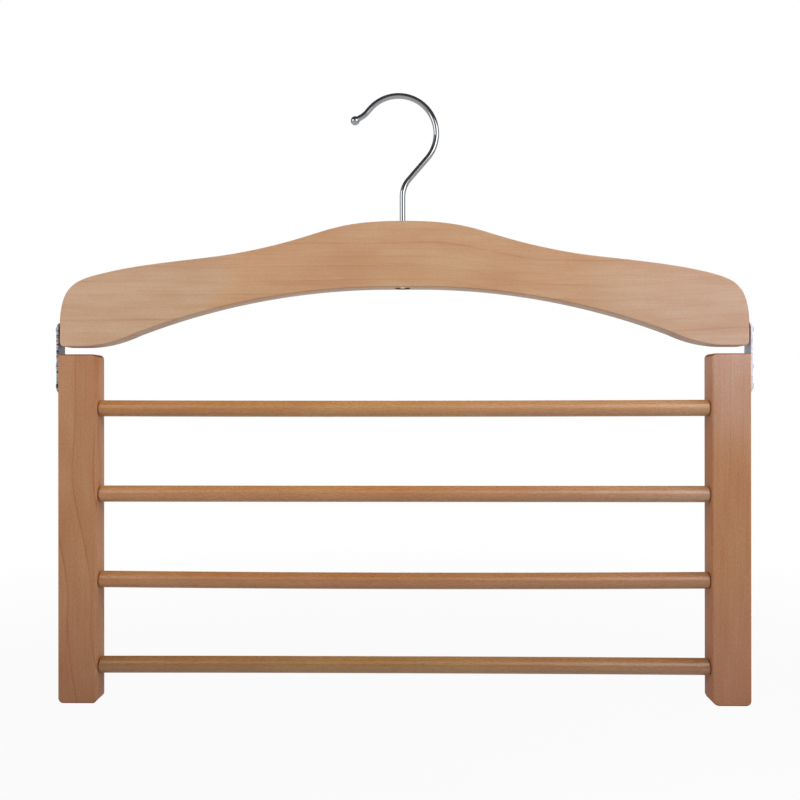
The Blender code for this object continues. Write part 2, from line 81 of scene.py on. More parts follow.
def bezier(corners: tuple[Pair, Pair, Pair, Pair], steps: int) -> np.ndarray:
    """Points of a cubic curve: its four corners weighted by (1-t)^3, 3(1-t)^2 t, 3(1-t) t^2 and t^3.

    Args:
        corners: The first point, the handle that the curve leaves towards, the one that it arrives from, and
            the last point.
        steps: Number of spans.

    Returns:
        The points, both ends among them.
    """
    t = np.linspace(0, 1, steps + 1)[:, None]
    weights = ((1 - t) ** 3, 3 * (1 - t) ** 2 * t, 3 * (1 - t) * t**2, t**3)
    return sum(weight * np.asarray(corner, float) for weight, corner in zip(weights, corners))


def fillet(before: Pair, corner: Pair, after: Pair, radius: float, steps: int) -> np.ndarray:
    """The arc that touches both sides of a corner.

    With u and v the unit vectors along the two sides and h half the angle between them, the centre is
    radius / sin h along u + v, and the points turn evenly from the one touching point to the other.

    Args:
        before: Point before the corner.
        corner: The corner itself.
        after: Point after it.
        radius: Radius of the arc.
        steps: Number of spans.

    Returns:
        The arc's points.
    """
    corner = np.asarray(corner, float)
    u, v = (unit(np.asarray(point, float) - corner) for point in (before, after))
    half = math.acos(np.clip(u @ v, -1, 1)) / 2
    centre = corner + unit(u + v) * radius / math.sin(half)
    first, last = (corner + way * radius / math.tan(half) - centre for way in (u, v))
    turn = math.pi - 2 * half
    t = np.linspace(0, 1, steps + 1)[:, None]
    return centre + (np.sin((1 - t) * turn) * first + np.sin(t * turn) * last) / math.sin(turn)


def line(start: Pair, end: Pair, steps: int) -> np.ndarray:
    """Evenly spaced points from one end to the other."""
    t = np.linspace(0, 1, steps + 1)[:, None]
    return np.asarray(start, float) * (1 - t) + np.asarray(end, float) * t


def chained(*runs: np.ndarray) -> np.ndarray:
    """Runs that follow each other, with the point that two runs share kept once.

    Args:
        runs: The runs in order.

    Returns:
        All their points.
    """
    parts = [runs[0]]
    for run in runs[1:]:
        shared = np.allclose(parts[-1][-1], run[0], atol=WELD)
        parts.append(run[1:] if shared else run)
    return np.concatenate(parts)


def rounded_corners(corners: list[Spot], steps: int, closed: bool = False) -> np.ndarray:
    """A path through (u, v, radius) corners, each one rounded where its radius is above zero.

    Args:
        corners: The corners in order.
        steps: Spans of each arc.
        closed: Whether the last corner leads back to the first.

    Returns:
        The path's points, with the first one repeated at the end where it is closed.
    """
    spots = [np.array(corner[:2]) for corner in corners]
    runs = []
    for i, (u, v, radius) in enumerate(corners):
        inside = closed or 0 < i < len(corners) - 1
        if radius > 0 and inside:
            runs.append(fillet(spots[i - 1], spots[i], spots[(i + 1) % len(spots)], radius, steps))
        else:
            runs.append(np.array([[u, v]]))
    if closed:
        runs.append(runs[0][:1])
    return chained(*runs)


# Surfaces

@dataclass
class Skin:
    """A surface as whole arrays, before it becomes a mesh.

    Args:
        points: Three coordinates a point.
        faces: Four point numbers a face.
        edge: How much of a rounded edge each point is, from 0 on a flat to 1. On a wood's rim it is tinted
        darker as painted shade.
    """

    points: np.ndarray
    faces: np.ndarray
    edge: np.ndarray

    def carried(self, origin: Spot, along: Spot = (0, 0, 1)) -> "Skin":
        """The same skin with its zero at a point and its Z turned to a direction."""
        turn = np.array(Vector((0, 0, 1)).rotation_difference(Vector(along)).to_matrix())
        return Skin(self.points @ turn.T + np.array(origin), self.faces, self.edge)


def grid_skin(grid: np.ndarray, edge: np.ndarray | None = None, ring: bool = False) -> Skin:
    """A skin over a grid of points, one face between each four neighbours.

    Args:
        grid: Rows by columns by three coordinates.
        edge: The edge value of each row.
        ring: Whether the last column leads back to the first.

    Returns:
        The skin.
    """
    rows, columns = grid.shape[:2]
    index = np.arange(rows * columns).reshape(rows, columns)
    if ring:
        index = np.concatenate([index, index[:, :1]], axis=1)
    corners = (index[:-1, :-1], index[:-1, 1:], index[1:, 1:], index[1:, :-1])
    faces = np.stack(corners, axis=-1).reshape(-1, 4)
    edge_share = np.zeros(rows) if edge is None else edge
    return Skin(grid.reshape(-1, 3), faces, np.repeat(edge_share, columns))


def joined(*skins: Skin) -> Skin:
    """Several skins as one.

    Args:
        skins: The skins in order.

    Returns:
        One skin.
    """
    starts = np.cumsum([0] + [len(skin.points) for skin in skins[:-1]])
    return Skin(
        np.concatenate([skin.points for skin in skins]),
        np.concatenate([skin.faces + start for skin, start in zip(skins, starts)]),
        np.concatenate([skin.edge for skin in skins]),
    )


def turned(profile: np.ndarray, sides: int) -> Skin:
    """A profile of (radius, height) points turned round Z: (r cos a, r sin a, h) for a full turn of a.

    Args:
        profile: The points, from pole to pole or closed on itself, once for all columns or once for each.
        sides: Columns round the axis.

    Returns:
        The skin.
    """
    a = np.linspace(0, 2 * math.pi, sides, endpoint=False)
    radius, height = np.moveaxis(profile.reshape(len(profile), 2, -1) + np.zeros(sides), 1, 0)
    return grid_skin(np.stack([radius * np.cos(a), radius * np.sin(a), height], axis=-1), ring=True)


def drill(diameter: float, low: float, high: float) -> Skin:
    """A closed round cutter on Z between two heights."""
    radius = diameter / 2
    return turned(np.array([(0, low), (radius, low), (radius, high), (0, high)]), DRILL_SIDES)


def washer_skin(bore: float, diameter: float, thickness: float) -> Skin:
    """A stamped washer round Z with its underside at zero and softened rims.

    Args:
        bore: Diameter of its hole.
        diameter: Its outer diameter.
        thickness: Its thickness.

    Returns:
        The skin.
    """
    soft = min(thickness / 4, SOFT_RIM)
    inner, outer = bore / 2, diameter / 2
    corners = [(inner, 0, soft), (outer, 0, soft), (outer, thickness, soft), (inner, thickness, soft)]
    return turned(rounded_corners(corners, 4, closed=True), ROUND_SIDES)


class Lie(Enum):
    """Which way a flat piece faces, as the places of its outline's two directions and of its thickness."""

    FRONT = (0, 2, 1)
    SIDEWAYS = (1, 2, 0)


@dataclass(frozen=True)
class Plate:
    """A flat piece with a rounded rim, between two runs that share both their ends.

    Args:
        near: One side of the outline, as points from end to end.
        far: The other side, with as many points.
        thickness: Size across the faces.
        rim: Radius of the rounded rim.
        lie: Which way it faces.
        middle: Where the middle of its thickness is.
        rungs: Faces from one side to the other.
        rim_steps: Spans of the rounded rim.
        lip: A narrow flat inside the rim, so that the face beyond it stays flat to the light.
    """

    near: np.ndarray
    far: np.ndarray
    thickness: float
    rim: float
    lie: Lie = Lie.FRONT
    middle: float = 0.0
    rungs: int = 12
    rim_steps: int = 6
    lip: float = 0.00015

    def placed(self, flat: np.ndarray, depth: np.ndarray | float) -> np.ndarray:
        """Outline points and their depths as points in space.

        Args:
            flat: The points in the outline's two directions.
            depth: How far each lies from the middle of the thickness.

        Returns:
            The points, with three coordinates each.
        """
        out = np.empty((*flat.shape[:-1], 3))
        along, up, across = self.lie.value
        out[..., along], out[..., up] = flat[..., 0], flat[..., 1]
        out[..., across] = np.asarray(depth) + self.middle
        return out

    def skin(self) -> Skin:
        """The closed surface: rings round the rim, and a ladder of rungs over each face.

        A ring at the angle q of the rim lies inside the outline by rim (1 - sin q), at the depth
        half - rim + rim cos q, and its edge value is 0.3 + 0.7 sin 2q. A rung mixes the two sides evenly.

        Returns:
            The skin.
        """
        count, half = len(self.near), self.thickness / 2
        loop = np.concatenate([self.near, self.far[-2:0:-1]])
        ahead = np.roll(loop, -1, axis=0)
        signed_area = np.sum(loop[:, 0] * ahead[:, 1] - loop[:, 1] * ahead[:, 0])
        out = unit((ahead - loop)[:, ::-1] * (1, -1)) * np.sign(signed_area)
        normal = unit(out + np.roll(out, 1, axis=0))

        q = np.linspace(0, math.pi / 2, self.rim_steps + 1)
        inset = np.concatenate([[self.rim + self.lip], self.rim * (1 - np.sin(q))])
        depth = np.concatenate([[half], half - self.rim + self.rim * np.cos(q)])
        edge_share = np.concatenate([[0.0], 0.3 + 0.7 * np.sin(2 * q)])
        inset, edge_share = (np.concatenate([side, side[::-1]]) for side in (inset, edge_share))
        depth = np.concatenate([-depth, depth[::-1]])
        rings = loop[None] - inset[:, None, None] * normal[None]
        rim = grid_skin(self.placed(rings, depth[:, None]), edge_share, ring=True)

        inner = rings[0]
        far = inner[np.concatenate([[0], np.arange(len(loop) - 1, count - 1, -1), [count - 1]])]
        t = np.linspace(0, 1, self.rungs + 1)[:, None, None]
        ladder = inner[None, :count] * (1 - t) + far[None] * t
        return joined(rim, *(grid_skin(self.placed(ladder, side * half)) for side in (-1, 1)))


# Pieces

def mesh_of(name: str, skin: Skin) -> bpy.types.Mesh:
    """A mesh from a skin, welded, with its faces outwards and its edge values in the attribute "edge".

    Args:
        name: The mesh's name.
        skin: The surface.

    Returns:
        The mesh.
    """
    mesh = bpy.data.meshes.new(name)
    mesh.from_pydata(skin.points.tolist(), [], skin.faces.tolist())
    mesh.attributes.new("edge", "FLOAT", "POINT").data.foreach_set("value", skin.edge.astype(np.float32))
    soft = bmesh.new()
    soft.from_mesh(mesh)
    bmesh.ops.remove_doubles(soft, verts=soft.verts, dist=WELD)
    bmesh.ops.recalc_face_normals(soft, faces=soft.faces)
    soft.to_mesh(mesh)
    soft.free()
    return mesh


def carve(piece: bpy.types.Object, cutters: list[Skin]) -> None:
    """Takes closed skins out of a piece and keeps the result as its mesh.

    Args:
        piece: The piece to cut.
        cutters: The skins to take out.
    """
    tool = bpy.data.objects.new("cutter", mesh_of("cutter", joined(*cutters)))
    bpy.context.scene.collection.objects.link(tool)
    cut = piece.modifiers.new("carved", "BOOLEAN")
    cut.operation = "DIFFERENCE"
    cut.solver = "EXACT"
    cut.use_self = True
    cut.object = tool
    evaluated = piece.evaluated_get(bpy.context.evaluated_depsgraph_get())
    carved = bpy.data.meshes.new_from_object(evaluated)
    piece.modifiers.clear()
    piece.data = carved
    bpy.data.objects.remove(tool, do_unlink=True)


def make_piece(
    name: str,
    skin: Skin,
    finish: Material,
    body: str,
    node: str,
    cutters: list[Skin] | None = None,
) -> None:
    """Makes one visible piece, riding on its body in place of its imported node.

    Args:
        name: The piece's name.
        skin: Its surface.
        finish: Its material.
        body: The body that it moves with.
        node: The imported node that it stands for.
        cutters: Skins taken out of it.
    """
    piece = bpy.data.objects.new(name, mesh_of(name, skin))
    bpy.context.scene.collection.objects.link(piece)
    if cutters:
        carve(piece, cutters)
    piece.data.materials.clear()
    piece.data.materials.append(finish)
    piece.data.shade_smooth()
    piece.data.set_sharp_from_angle(angle=math.radians(SMOOTH_BELOW_DEG))
    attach(piece, body)
    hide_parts(node)
    log.info("%s: %d faces, on %s", name, len(piece.data.polygons), body)


# Finishes

MIX_FACTOR, MIX_A, MIX_B, MIX_RESULT = 0, 6, 7, 2  # a colour mix's inputs and its output


def linear(colour: str) -> tuple[float, float, float, float]:
    """A linear colour from an sRGB hex value.

    Args:
        colour: Red, green and blue as six hex digits.

    Returns:
        Red, green and blue as shares of one, and full alpha.
    """
    channels = [int(colour[i : i + 2], 16) / 255 for i in (0, 2, 4)]
    red, green, blue = (c / 12.92 if c <= 0.04045 else ((c + 0.055) / 1.055) ** 2.4 for c in channels)
    return (red, green, blue, 1.0)


def fill(tree: Tree, node: bpy.types.Node, inputs: tuple | dict) -> None:
    """Gives a node's inputs a value or another node's output each.

    Args:
        tree: The tree it stands in.
        node: The node.
        inputs: The values and outputs, in order, or by the inputs' names or places.
    """
    for key, value in inputs.items() if isinstance(inputs, dict) else enumerate(inputs):
        if isinstance(value, Socket):
            tree.links.new(value, node.inputs[key])
        else:
            node.inputs[key].default_value = value


def add(tree: Tree, kind: str, inputs: tuple | dict = (), **settings: object) -> bpy.types.NodeOutputs:
    """Adds a node, gives it its settings, and fills or links its inputs.

    Args:
        tree: The tree it goes in.
        kind: Blender's name for the node.
        inputs: A value or an output for each input, in order, or by name or place. A map range takes its
            value, the two ends that it comes from and the two that it goes to, in that order.
        settings: The node's own settings.

    Returns:
        Its outputs.
    """
    node = tree.nodes.new(f"ShaderNode{kind}")
    for name, value in settings.items():
        setattr(node, name, value)
    fill(tree, node, inputs)
    return node.outputs


def fill_ramp(ramp: Socket, stops: list[tuple[float, tuple]]) -> Socket:
    """Gives the colour ramp behind an output its stops, each a place and a linear colour.

    Args:
        ramp: The ramp's output.
        stops: The stops in order.

    Returns:
        The same output.
    """
    elements = ramp.node.color_ramp.elements
    while len(elements) < len(stops):
        elements.new(1.0)
    for element, (place, _) in zip(elements, stops):
        element.position = place
    for element, (_, colour) in zip(elements, stops):
        element.color = colour
    return ramp


def new_material(name: str) -> tuple[Material, Tree, bpy.types.Node]:
    """A material with its tree and its Principled shader.

    Args:
        name: The material's name.

    Returns:
        The three of them.
    """
    material = bpy.data.materials.new(name)
    material.use_nodes = True
    tree = material.node_tree
    return material, tree, tree.nodes["Principled BSDF"]


def measured(tree: Tree, place: Socket, sizes: Spot) -> Socket:
    """A place measured in features of these sizes, so that a pattern on it has one feature for each step."""
    steps = tuple(1 / size for size in sizes)
    return add(tree, "VectorMath", (place, steps), operation="MULTIPLY")[0]


def mottling(
    tree: Tree, place: Socket, sizes: Spot, detail: float, span: Pair = (0.0, 1.0), levels: Pair = (0.0, 1.0)
) -> Socket:
    """A cloudy pattern with features of real sizes.

    Args:
        tree: The material's nodes.
        place: The place in the piece.
        sizes: How long a feature is in each direction, in the unit of the place.
        detail: How many finer layers lie over it.
        span: The part of the plain pattern's 0 to 1 that is stretched over the levels.
        levels: The least and the greatest that it gives.

    Returns:
        The pattern.
    """
    cloud = add(tree, "TexNoise", {"Vector": measured(tree, place, sizes), "Scale": 1.0, "Detail": detail})[0]
    return add(tree, "MapRange", (cloud, *span, *levels))[0]


def laid_over(tree: Tree, colour: Socket | tuple, mask: Socket, tint: str, blend: str = "MULTIPLY") -> Socket:
    """A colour with a tint multiplied into it, or mixed with it, as far as the mask says."""
    inputs = {MIX_FACTOR: mask, MIX_A: colour, MIX_B: linear(tint)}
    return add(tree, "Mix", inputs, data_type="RGBA", blend_type=blend)[MIX_RESULT]


class Grain(Enum):
    """Which way the wood's grain runs, as the turn that brings it onto the pattern's first axis."""

    ALONG_X = (0.0, 0.0, 0.0)
    ALONG_Z = (0.0, math.pi / 2, 0.0)


@dataclass(frozen=True)
class LacqueredBeech:
    """Planed or turned, sanded and clear-lacquered beech.

    It is a fine, even, pinkish tan with a thin darker line where each year's growth ends, faint streaks of
    fibre, a fine grit, short darker pores, a few mineral flecks and darker end grain. Its rounded rims are
    tinted darker as painted shade of rims turned from the light, and a bar is darker in a ring where it meets
    an upright. Narrow sides, and tones set for how a piece is lit, carry painted light and shade. The lacquer
    gives it a soft satin gloss, which the lathe's scratches draw out along a turned piece. All lengths are in
    millimetres of real wood.
    """

    name: str
    grain: Grain
    tones: tuple[tuple[float, str], ...]  # place along the grain, and colour there; partly painted light and shade
    tone_tilt: float = 0.0  # how far a tone's border leans along the grain for each step across
    tone_drift: float = 12.0  # how far it wanders
    cloud_tint: str = "F7ECE4"
    ring_spacing: float = 8.0
    ring_depth: float = 0.5  # how much of the ring tint its line takes
    ring_slope: float = 0.0  # rise across the grain for each step along it
    ring_tilt: float = 0.35  # the same for each step through the piece
    ring_unevenness: float = 2.2  # how many years the spacing gets ahead or behind
    ring_tint: str = "D9B79B"
    bends: tuple[Spot, ...] = ()  # from, to and rise of each bend of the grain
    wander: float = 4.0  # how far the lines wander
    fibre_length: float = 38.0
    fibre_depth: float = 0.35
    fibre_tint: str = "F0E2D6"
    grit_depth: float = 0.12  # how much of the finest mottling shows
    grit_tint: str = "D9B496"
    pore_depth: float = 0.12
    pore_tint: str = "C79C79"
    fleck_depth: float = 0.45
    fleck_tint: str = "5A3520"
    fleck_rarity: float = 0.84  # share of their places that have none
    edge_depth: float = 0.15  # how much darker a rounded edge is, as painted shade, or the ring where a bar meets an upright
    edge_tint: str = "E3AE7E"
    side_tint: str = "FFFFFF"  # laid over the narrow sides, square to the grain and to the broad faces; where set, painted shade
    end_tint: str = "CFA37C"
    relief: float = 0.05  # height of the raised fibre
    roughness: float = 0.42
    fibre_gloss: Pair = (-0.04, 0.06)  # how the fibre changes it
    index: float = 1.6  # refraction of the lacquer
    gloss: float = 0.22  # how strongly the lacquer mirrors, from 0 to 1
    side_gloss: float = 0.0  # the same on the narrow sides where they are left unrubbed, or 0 for no change
    turning: float = 0.0  # how far the fine scratches of the lathe draw the gloss out along the piece
    shift: Spot = (0.0, 0.0, 0.0)  # which part of the log the piece was cut from

    def rings(self, tree: Tree, point: Socket) -> Socket:
        """How dark the growth lines are at each place.

        The distance from the log's heart is the place across the grain plus a share of the depth, the slope
        and bends of the grain, and a slow wander. Each ring darkens slowly, then ends in a thin line, and
        fainter lines lie between.

        Args:
            tree: The material's nodes.
            point: The place in the wood.

        Returns:
            An output from 0 to 1.
        """
        along, through, across = add(tree, "SeparateXYZ", (point,))
        away = mottling(tree, point, (150, 70, 48), 1.0, levels=(-self.wander, self.wander))
        across = add(tree, "Math", (across, away), operation="ADD")[0]
        for axis, share in ((through, self.ring_tilt), (along, self.ring_slope)):
            across = add(tree, "Math", (axis, share, across), operation="MULTIPLY_ADD")[0]
        for start, end, rise in self.bends:
            bend = add(tree, "MapRange", (along, start, end, 0.0, -rise), interpolation_type="SMOOTHSTEP")[0]
            across = add(tree, "Math", (across, bend), operation="ADD")[0]
        years = add(tree, "Math", (across, 1 / self.ring_spacing), operation="MULTIPLY")[0]
        uneven = add(tree, "TexNoise", {"W": years, "Scale": 0.37, "Detail": 1.0}, noise_dimensions="1D")[0]
        years = add(tree, "Math", (uneven, self.ring_unevenness, years), operation="MULTIPLY_ADD")[0]
        lines = []
        kinds = ((1.0, 0.90, 1.0), (3.3, 0.80, 0.2))  # lines a year, where in its ring each is, its strength
        for rate, line_at, strength in kinds:
            place = add(tree, "Math", (years, rate), operation="MULTIPLY")[0]
            place = add(tree, "Math", (place,), operation="FRACT")[0]
            greys = ((0.0, 0.0), (0.45, 0.04), (line_at, 0.20), (line_at + 0.05, 1.0), (1.0, 0.0))
            stops = [(at, (*(grey * strength,) * 3, 1.0)) for at, grey in greys]
            lines.append(fill_ramp(add(tree, "ValToRGB", (place,))[0], stops))
        both = add(tree, "Math", tuple(lines), operation="MAXIMUM")[0]
        fade = mottling(tree, point, (80, 30, 14), 1.0, (0.35, 0.65), (0.35, 1.0))
        return add(tree, "Math", (both, fade), operation="MULTIPLY")[0]

    def speckle(self, tree: Tree, point: Socket) -> tuple[Socket, Socket]:
        """The pores and the mineral flecks.

        Pores are 1.5 x 0.3 mm, one in each 3 mm of fibre. A fleck is 2 x 0.7 mm, and one place in six
        has one.

        Args:
            tree: The material's nodes.
            point: The place in the wood.

        Returns:
            Two outputs from 0 to 1.
        """
        kinds = (  # size of the cell that each stands in, and reach of its core and of its rim
            ((3.0, 0.9, 0.75), 0.14, 0.32),
            ((34, 13, 12), 0.015, 0.045),
        )
        masks = []
        for sizes, core, rim in kinds:
            cells = add(tree, "TexVoronoi", {"Vector": measured(tree, point, sizes), "Scale": 1.0})
            masks.append(add(tree, "MapRange", (cells["Distance"], core, rim, 1.0, 0.0))[0])
        pores, flecks = masks
        chosen = add(tree, "SeparateColor", (cells["Color"],))[0]
        chosen = add(tree, "Math", (chosen, self.fleck_rarity), operation="GREATER_THAN")[0]
        return pores, add(tree, "Math", (flecks, chosen), operation="MULTIPLY")[0]

    def ground(self, tree: Tree, point: Socket) -> Socket:
        """The wood's ground colour along the piece, with slow mottling on top.

        Args:
            tree: The material's nodes.
            point: The place in the wood.

        Returns:
            The colour.
        """
        # Where a piece's tones are set lighter or darker for how it is lit, this colour carries painted light
        # and shade.
        first, last = self.tones[0][0], self.tones[-1][0]
        along, _, across = add(tree, "SeparateXYZ", (point,))
        drift = mottling(tree, point, (60, 30, 26), 2.0, levels=(-self.tone_drift, self.tone_drift))
        place = add(tree, "Math", (across, self.tone_tilt, along), operation="MULTIPLY_ADD")[0]
        place = add(tree, "Math", (place, drift), operation="ADD")[0]
        place = add(tree, "MapRange", (place, first + self.shift[0], last + self.shift[0]))[0]
        stops = [((at - first) / (last - first), linear(tone)) for at, tone in self.tones]
        tone = fill_ramp(add(tree, "ValToRGB", (place,))[0], stops)
        return laid_over(tree, tone, mottling(tree, point, (48, 22, 13), 3.0, (0.35, 0.68)), self.cloud_tint)

    def make(self) -> Material:
        """The ground colour with rings, fibre, grit, pores, flecks, edges, sides and end grain laid over it.

        Returns:
            The material.
        """
        material, tree, shader = new_material(self.name)
        places, turn = add(tree, "TexCoord"), self.grain.value
        point = add(tree, "Mapping", (places["Object"], self.shift, turn, (MM, MM, MM)))[0]
        fibre = mottling(tree, point, (self.fibre_length, 1.1, 0.8), 3.0, (0.32, 0.68))
        grit = mottling(tree, point, (1.8, 1.0, 1.0), 2.0, (0.36, 0.64))
        pores, flecks = self.speckle(tree, point)
        facing = add(tree, "Mapping", {"Vector": places["Normal"], "Rotation": turn}, vector_type="VECTOR")[0]
        facing = add(tree, "VectorMath", (facing,), operation="ABSOLUTE")[0]
        lengthways, _, sideways = add(tree, "SeparateXYZ", (facing,))
        ends, sides = (  # a face counts as end grain, or as a side, the more it looks that way
            add(tree, "MapRange", (way, 0.28, whole), interpolation_type="SMOOTHSTEP")[0]
            for way, whole in ((lengthways, 0.55), (sideways, 0.9))
        )
        layers = (
            (self.rings(tree, point), self.ring_depth, self.ring_tint),
            (fibre, self.fibre_depth, self.fibre_tint),
            (grit, self.grit_depth, self.grit_tint),
            (pores, self.pore_depth, self.pore_tint),
            (flecks, self.fleck_depth, self.fleck_tint),
            # The edge layer is painted shade on rounded rims, and on a bar the darker ring at each joint.
            (add(tree, "Attribute", attribute_name="edge")["Fac"], self.edge_depth, self.edge_tint),
            # The side layer is painted shade on narrow sides turned from the light.
            (sides, 1.0, self.side_tint),
            (ends, 1.0, self.end_tint),
        )
        colour = self.ground(tree, point)
        for mask, depth, tint in layers:
            share = add(tree, "Math", (mask, depth), operation="MULTIPLY")[0]
            colour = laid_over(tree, colour, share, tint)
        levels = (self.roughness + change for change in self.fibre_gloss)
        rough = add(tree, "MapRange", (fibre, 0.0, 1.0, *levels))[0]
        height = fibre
        for hollow, drop in ((pores, -0.5), (grit, -0.4)):
            height = add(tree, "Math", (hollow, drop, height), operation="MULTIPLY_ADD")[0]
        bump = add(tree, "Bump", {"Height": height, "Strength": 0.4, "Distance": self.relief / MM})[0]
        fill(tree, shader, {"Base Color": colour, "Roughness": rough, "Normal": bump, "IOR": self.index})
        if self.turning:
            space = {"convert_from": "OBJECT", "convert_to": "WORLD"}
            axis = add(tree, "VectorTransform", ((1, 0, 0),), **space)[0]
            fill(tree, shader, {"Tangent": axis, "Anisotropic": self.turning})
        shine = self.gloss
        if self.side_gloss:
            shine = add(tree, "MapRange", (sides, 0.0, 1.0, self.gloss, self.side_gloss))[0]
        fill(tree, shader, {"Specular IOR Level": shine})
        return material


@dataclass(frozen=True)
class PolishedChrome:
    """Steel wire, drawn, polished and chrome plated.

    It mirrors the room, with the faintest haze of fine lines from the drawing and a little wiped-on dust.
    """

    name: str = "polished chrome plate on drawn wire"
    colour: str = "D9DCE0"
    roughness: float = 0.035
    haze: float = 0.10  # roughness where it is haziest

    def make(self) -> Material:
        """A mirror whose haze comes and goes over 4 mm, with a faint ripple of 1.5 mm.

        Returns:
            The material.
        """
        material, tree, shader = new_material(self.name)
        place = add(tree, "TexCoord")["Object"]
        rough = mottling(tree, place, (0.004, 0.004, 0.004), 4.0, (0.45, 0.8), (self.roughness, self.haze))
        ripple = mottling(tree, place, (0.0015, 0.0015, 0.0015), 1.0)
        bump = add(tree, "Bump", {"Height": ripple, "Strength": 0.1, "Distance": 0.00002})[0]
        surface = {"Base Color": linear(self.colour), "Metallic": 1.0, "Roughness": rough, "Normal": bump}
        fill(tree, shader, surface)
        return material


@dataclass(frozen=True)
class ZincPlate:
    """Stamped or turned steel, barrel-tumbled and bright zinc plated.

    It is a bluish grey metal, mottled by its tumbling. Its sheared edges are torn in dark, glinting patches
    where the stamp was blunt, and can be made matt in the plate's own colour; where that colour is bright,
    the matt edge is a painted reflection of a lamp.
    """

    name: str = "bright zinc plate on stamped steel"
    colour: str = "C3CBD6"
    dull: str = "8E97A3"
    sheared: str = "4C4E55"
    shear_marks: float = 1.0  # how much of the sheared edge is torn
    matt_edge: float = 0.0  # how far the sheared edge is made matt; a bright matt edge is a painted reflection
    roughness: float = 0.26

    def make(self) -> Material:
        """Metal whose tone and roughness change over patches of 0.8 mm, with dents of 0.9 mm in its gloss.

        Returns:
            The material.
        """
        material, tree, shader = new_material(self.name)
        place = add(tree, "TexCoord")["Object"]
        patches = mottling(tree, place, (0.0008, 0.0008, 0.0008), 3.0, (0.38, 0.64))
        colour = laid_over(tree, linear(self.colour), patches, self.dull, "MIX")
        rim = add(tree, "Attribute", attribute_name="edge")["Fac"]
        rim = add(tree, "MapRange", (rim, 0.05, 0.25))[0]
        # A matt edge shows the plate's own colour; on the lit right strap that is a painted reflection.
        shine = add(tree, "Math", (rim, -self.matt_edge, 1.0), operation="MULTIPLY_ADD")[0]
        torn = mottling(tree, place, (0.0040, 0.0018, 0.0008), 2.0, (0.46, 0.60))
        for share in (rim, self.shear_marks):
            torn = add(tree, "Math", (torn, share), operation="MULTIPLY")[0]
        colour = laid_over(tree, colour, torn, self.sheared, "MIX")
        rough = add(tree, "MapRange", (patches, 0.0, 1.0, self.roughness, self.roughness + 0.16))[0]
        dents = add(tree, "TexVoronoi", {"Vector": place, "Scale": MM / 0.9})["Distance"]
        dents = add(tree, "Math", (torn, -1.5, dents), operation="MULTIPLY_ADD")[0]
        bump = add(tree, "Bump", {"Height": dents, "Strength": 0.5, "Distance": 0.00012})[0]
        fill(tree, shader, {"Base Color": colour, "Metallic": shine, "Roughness": rough, "Normal": bump})
        return material


# The hook

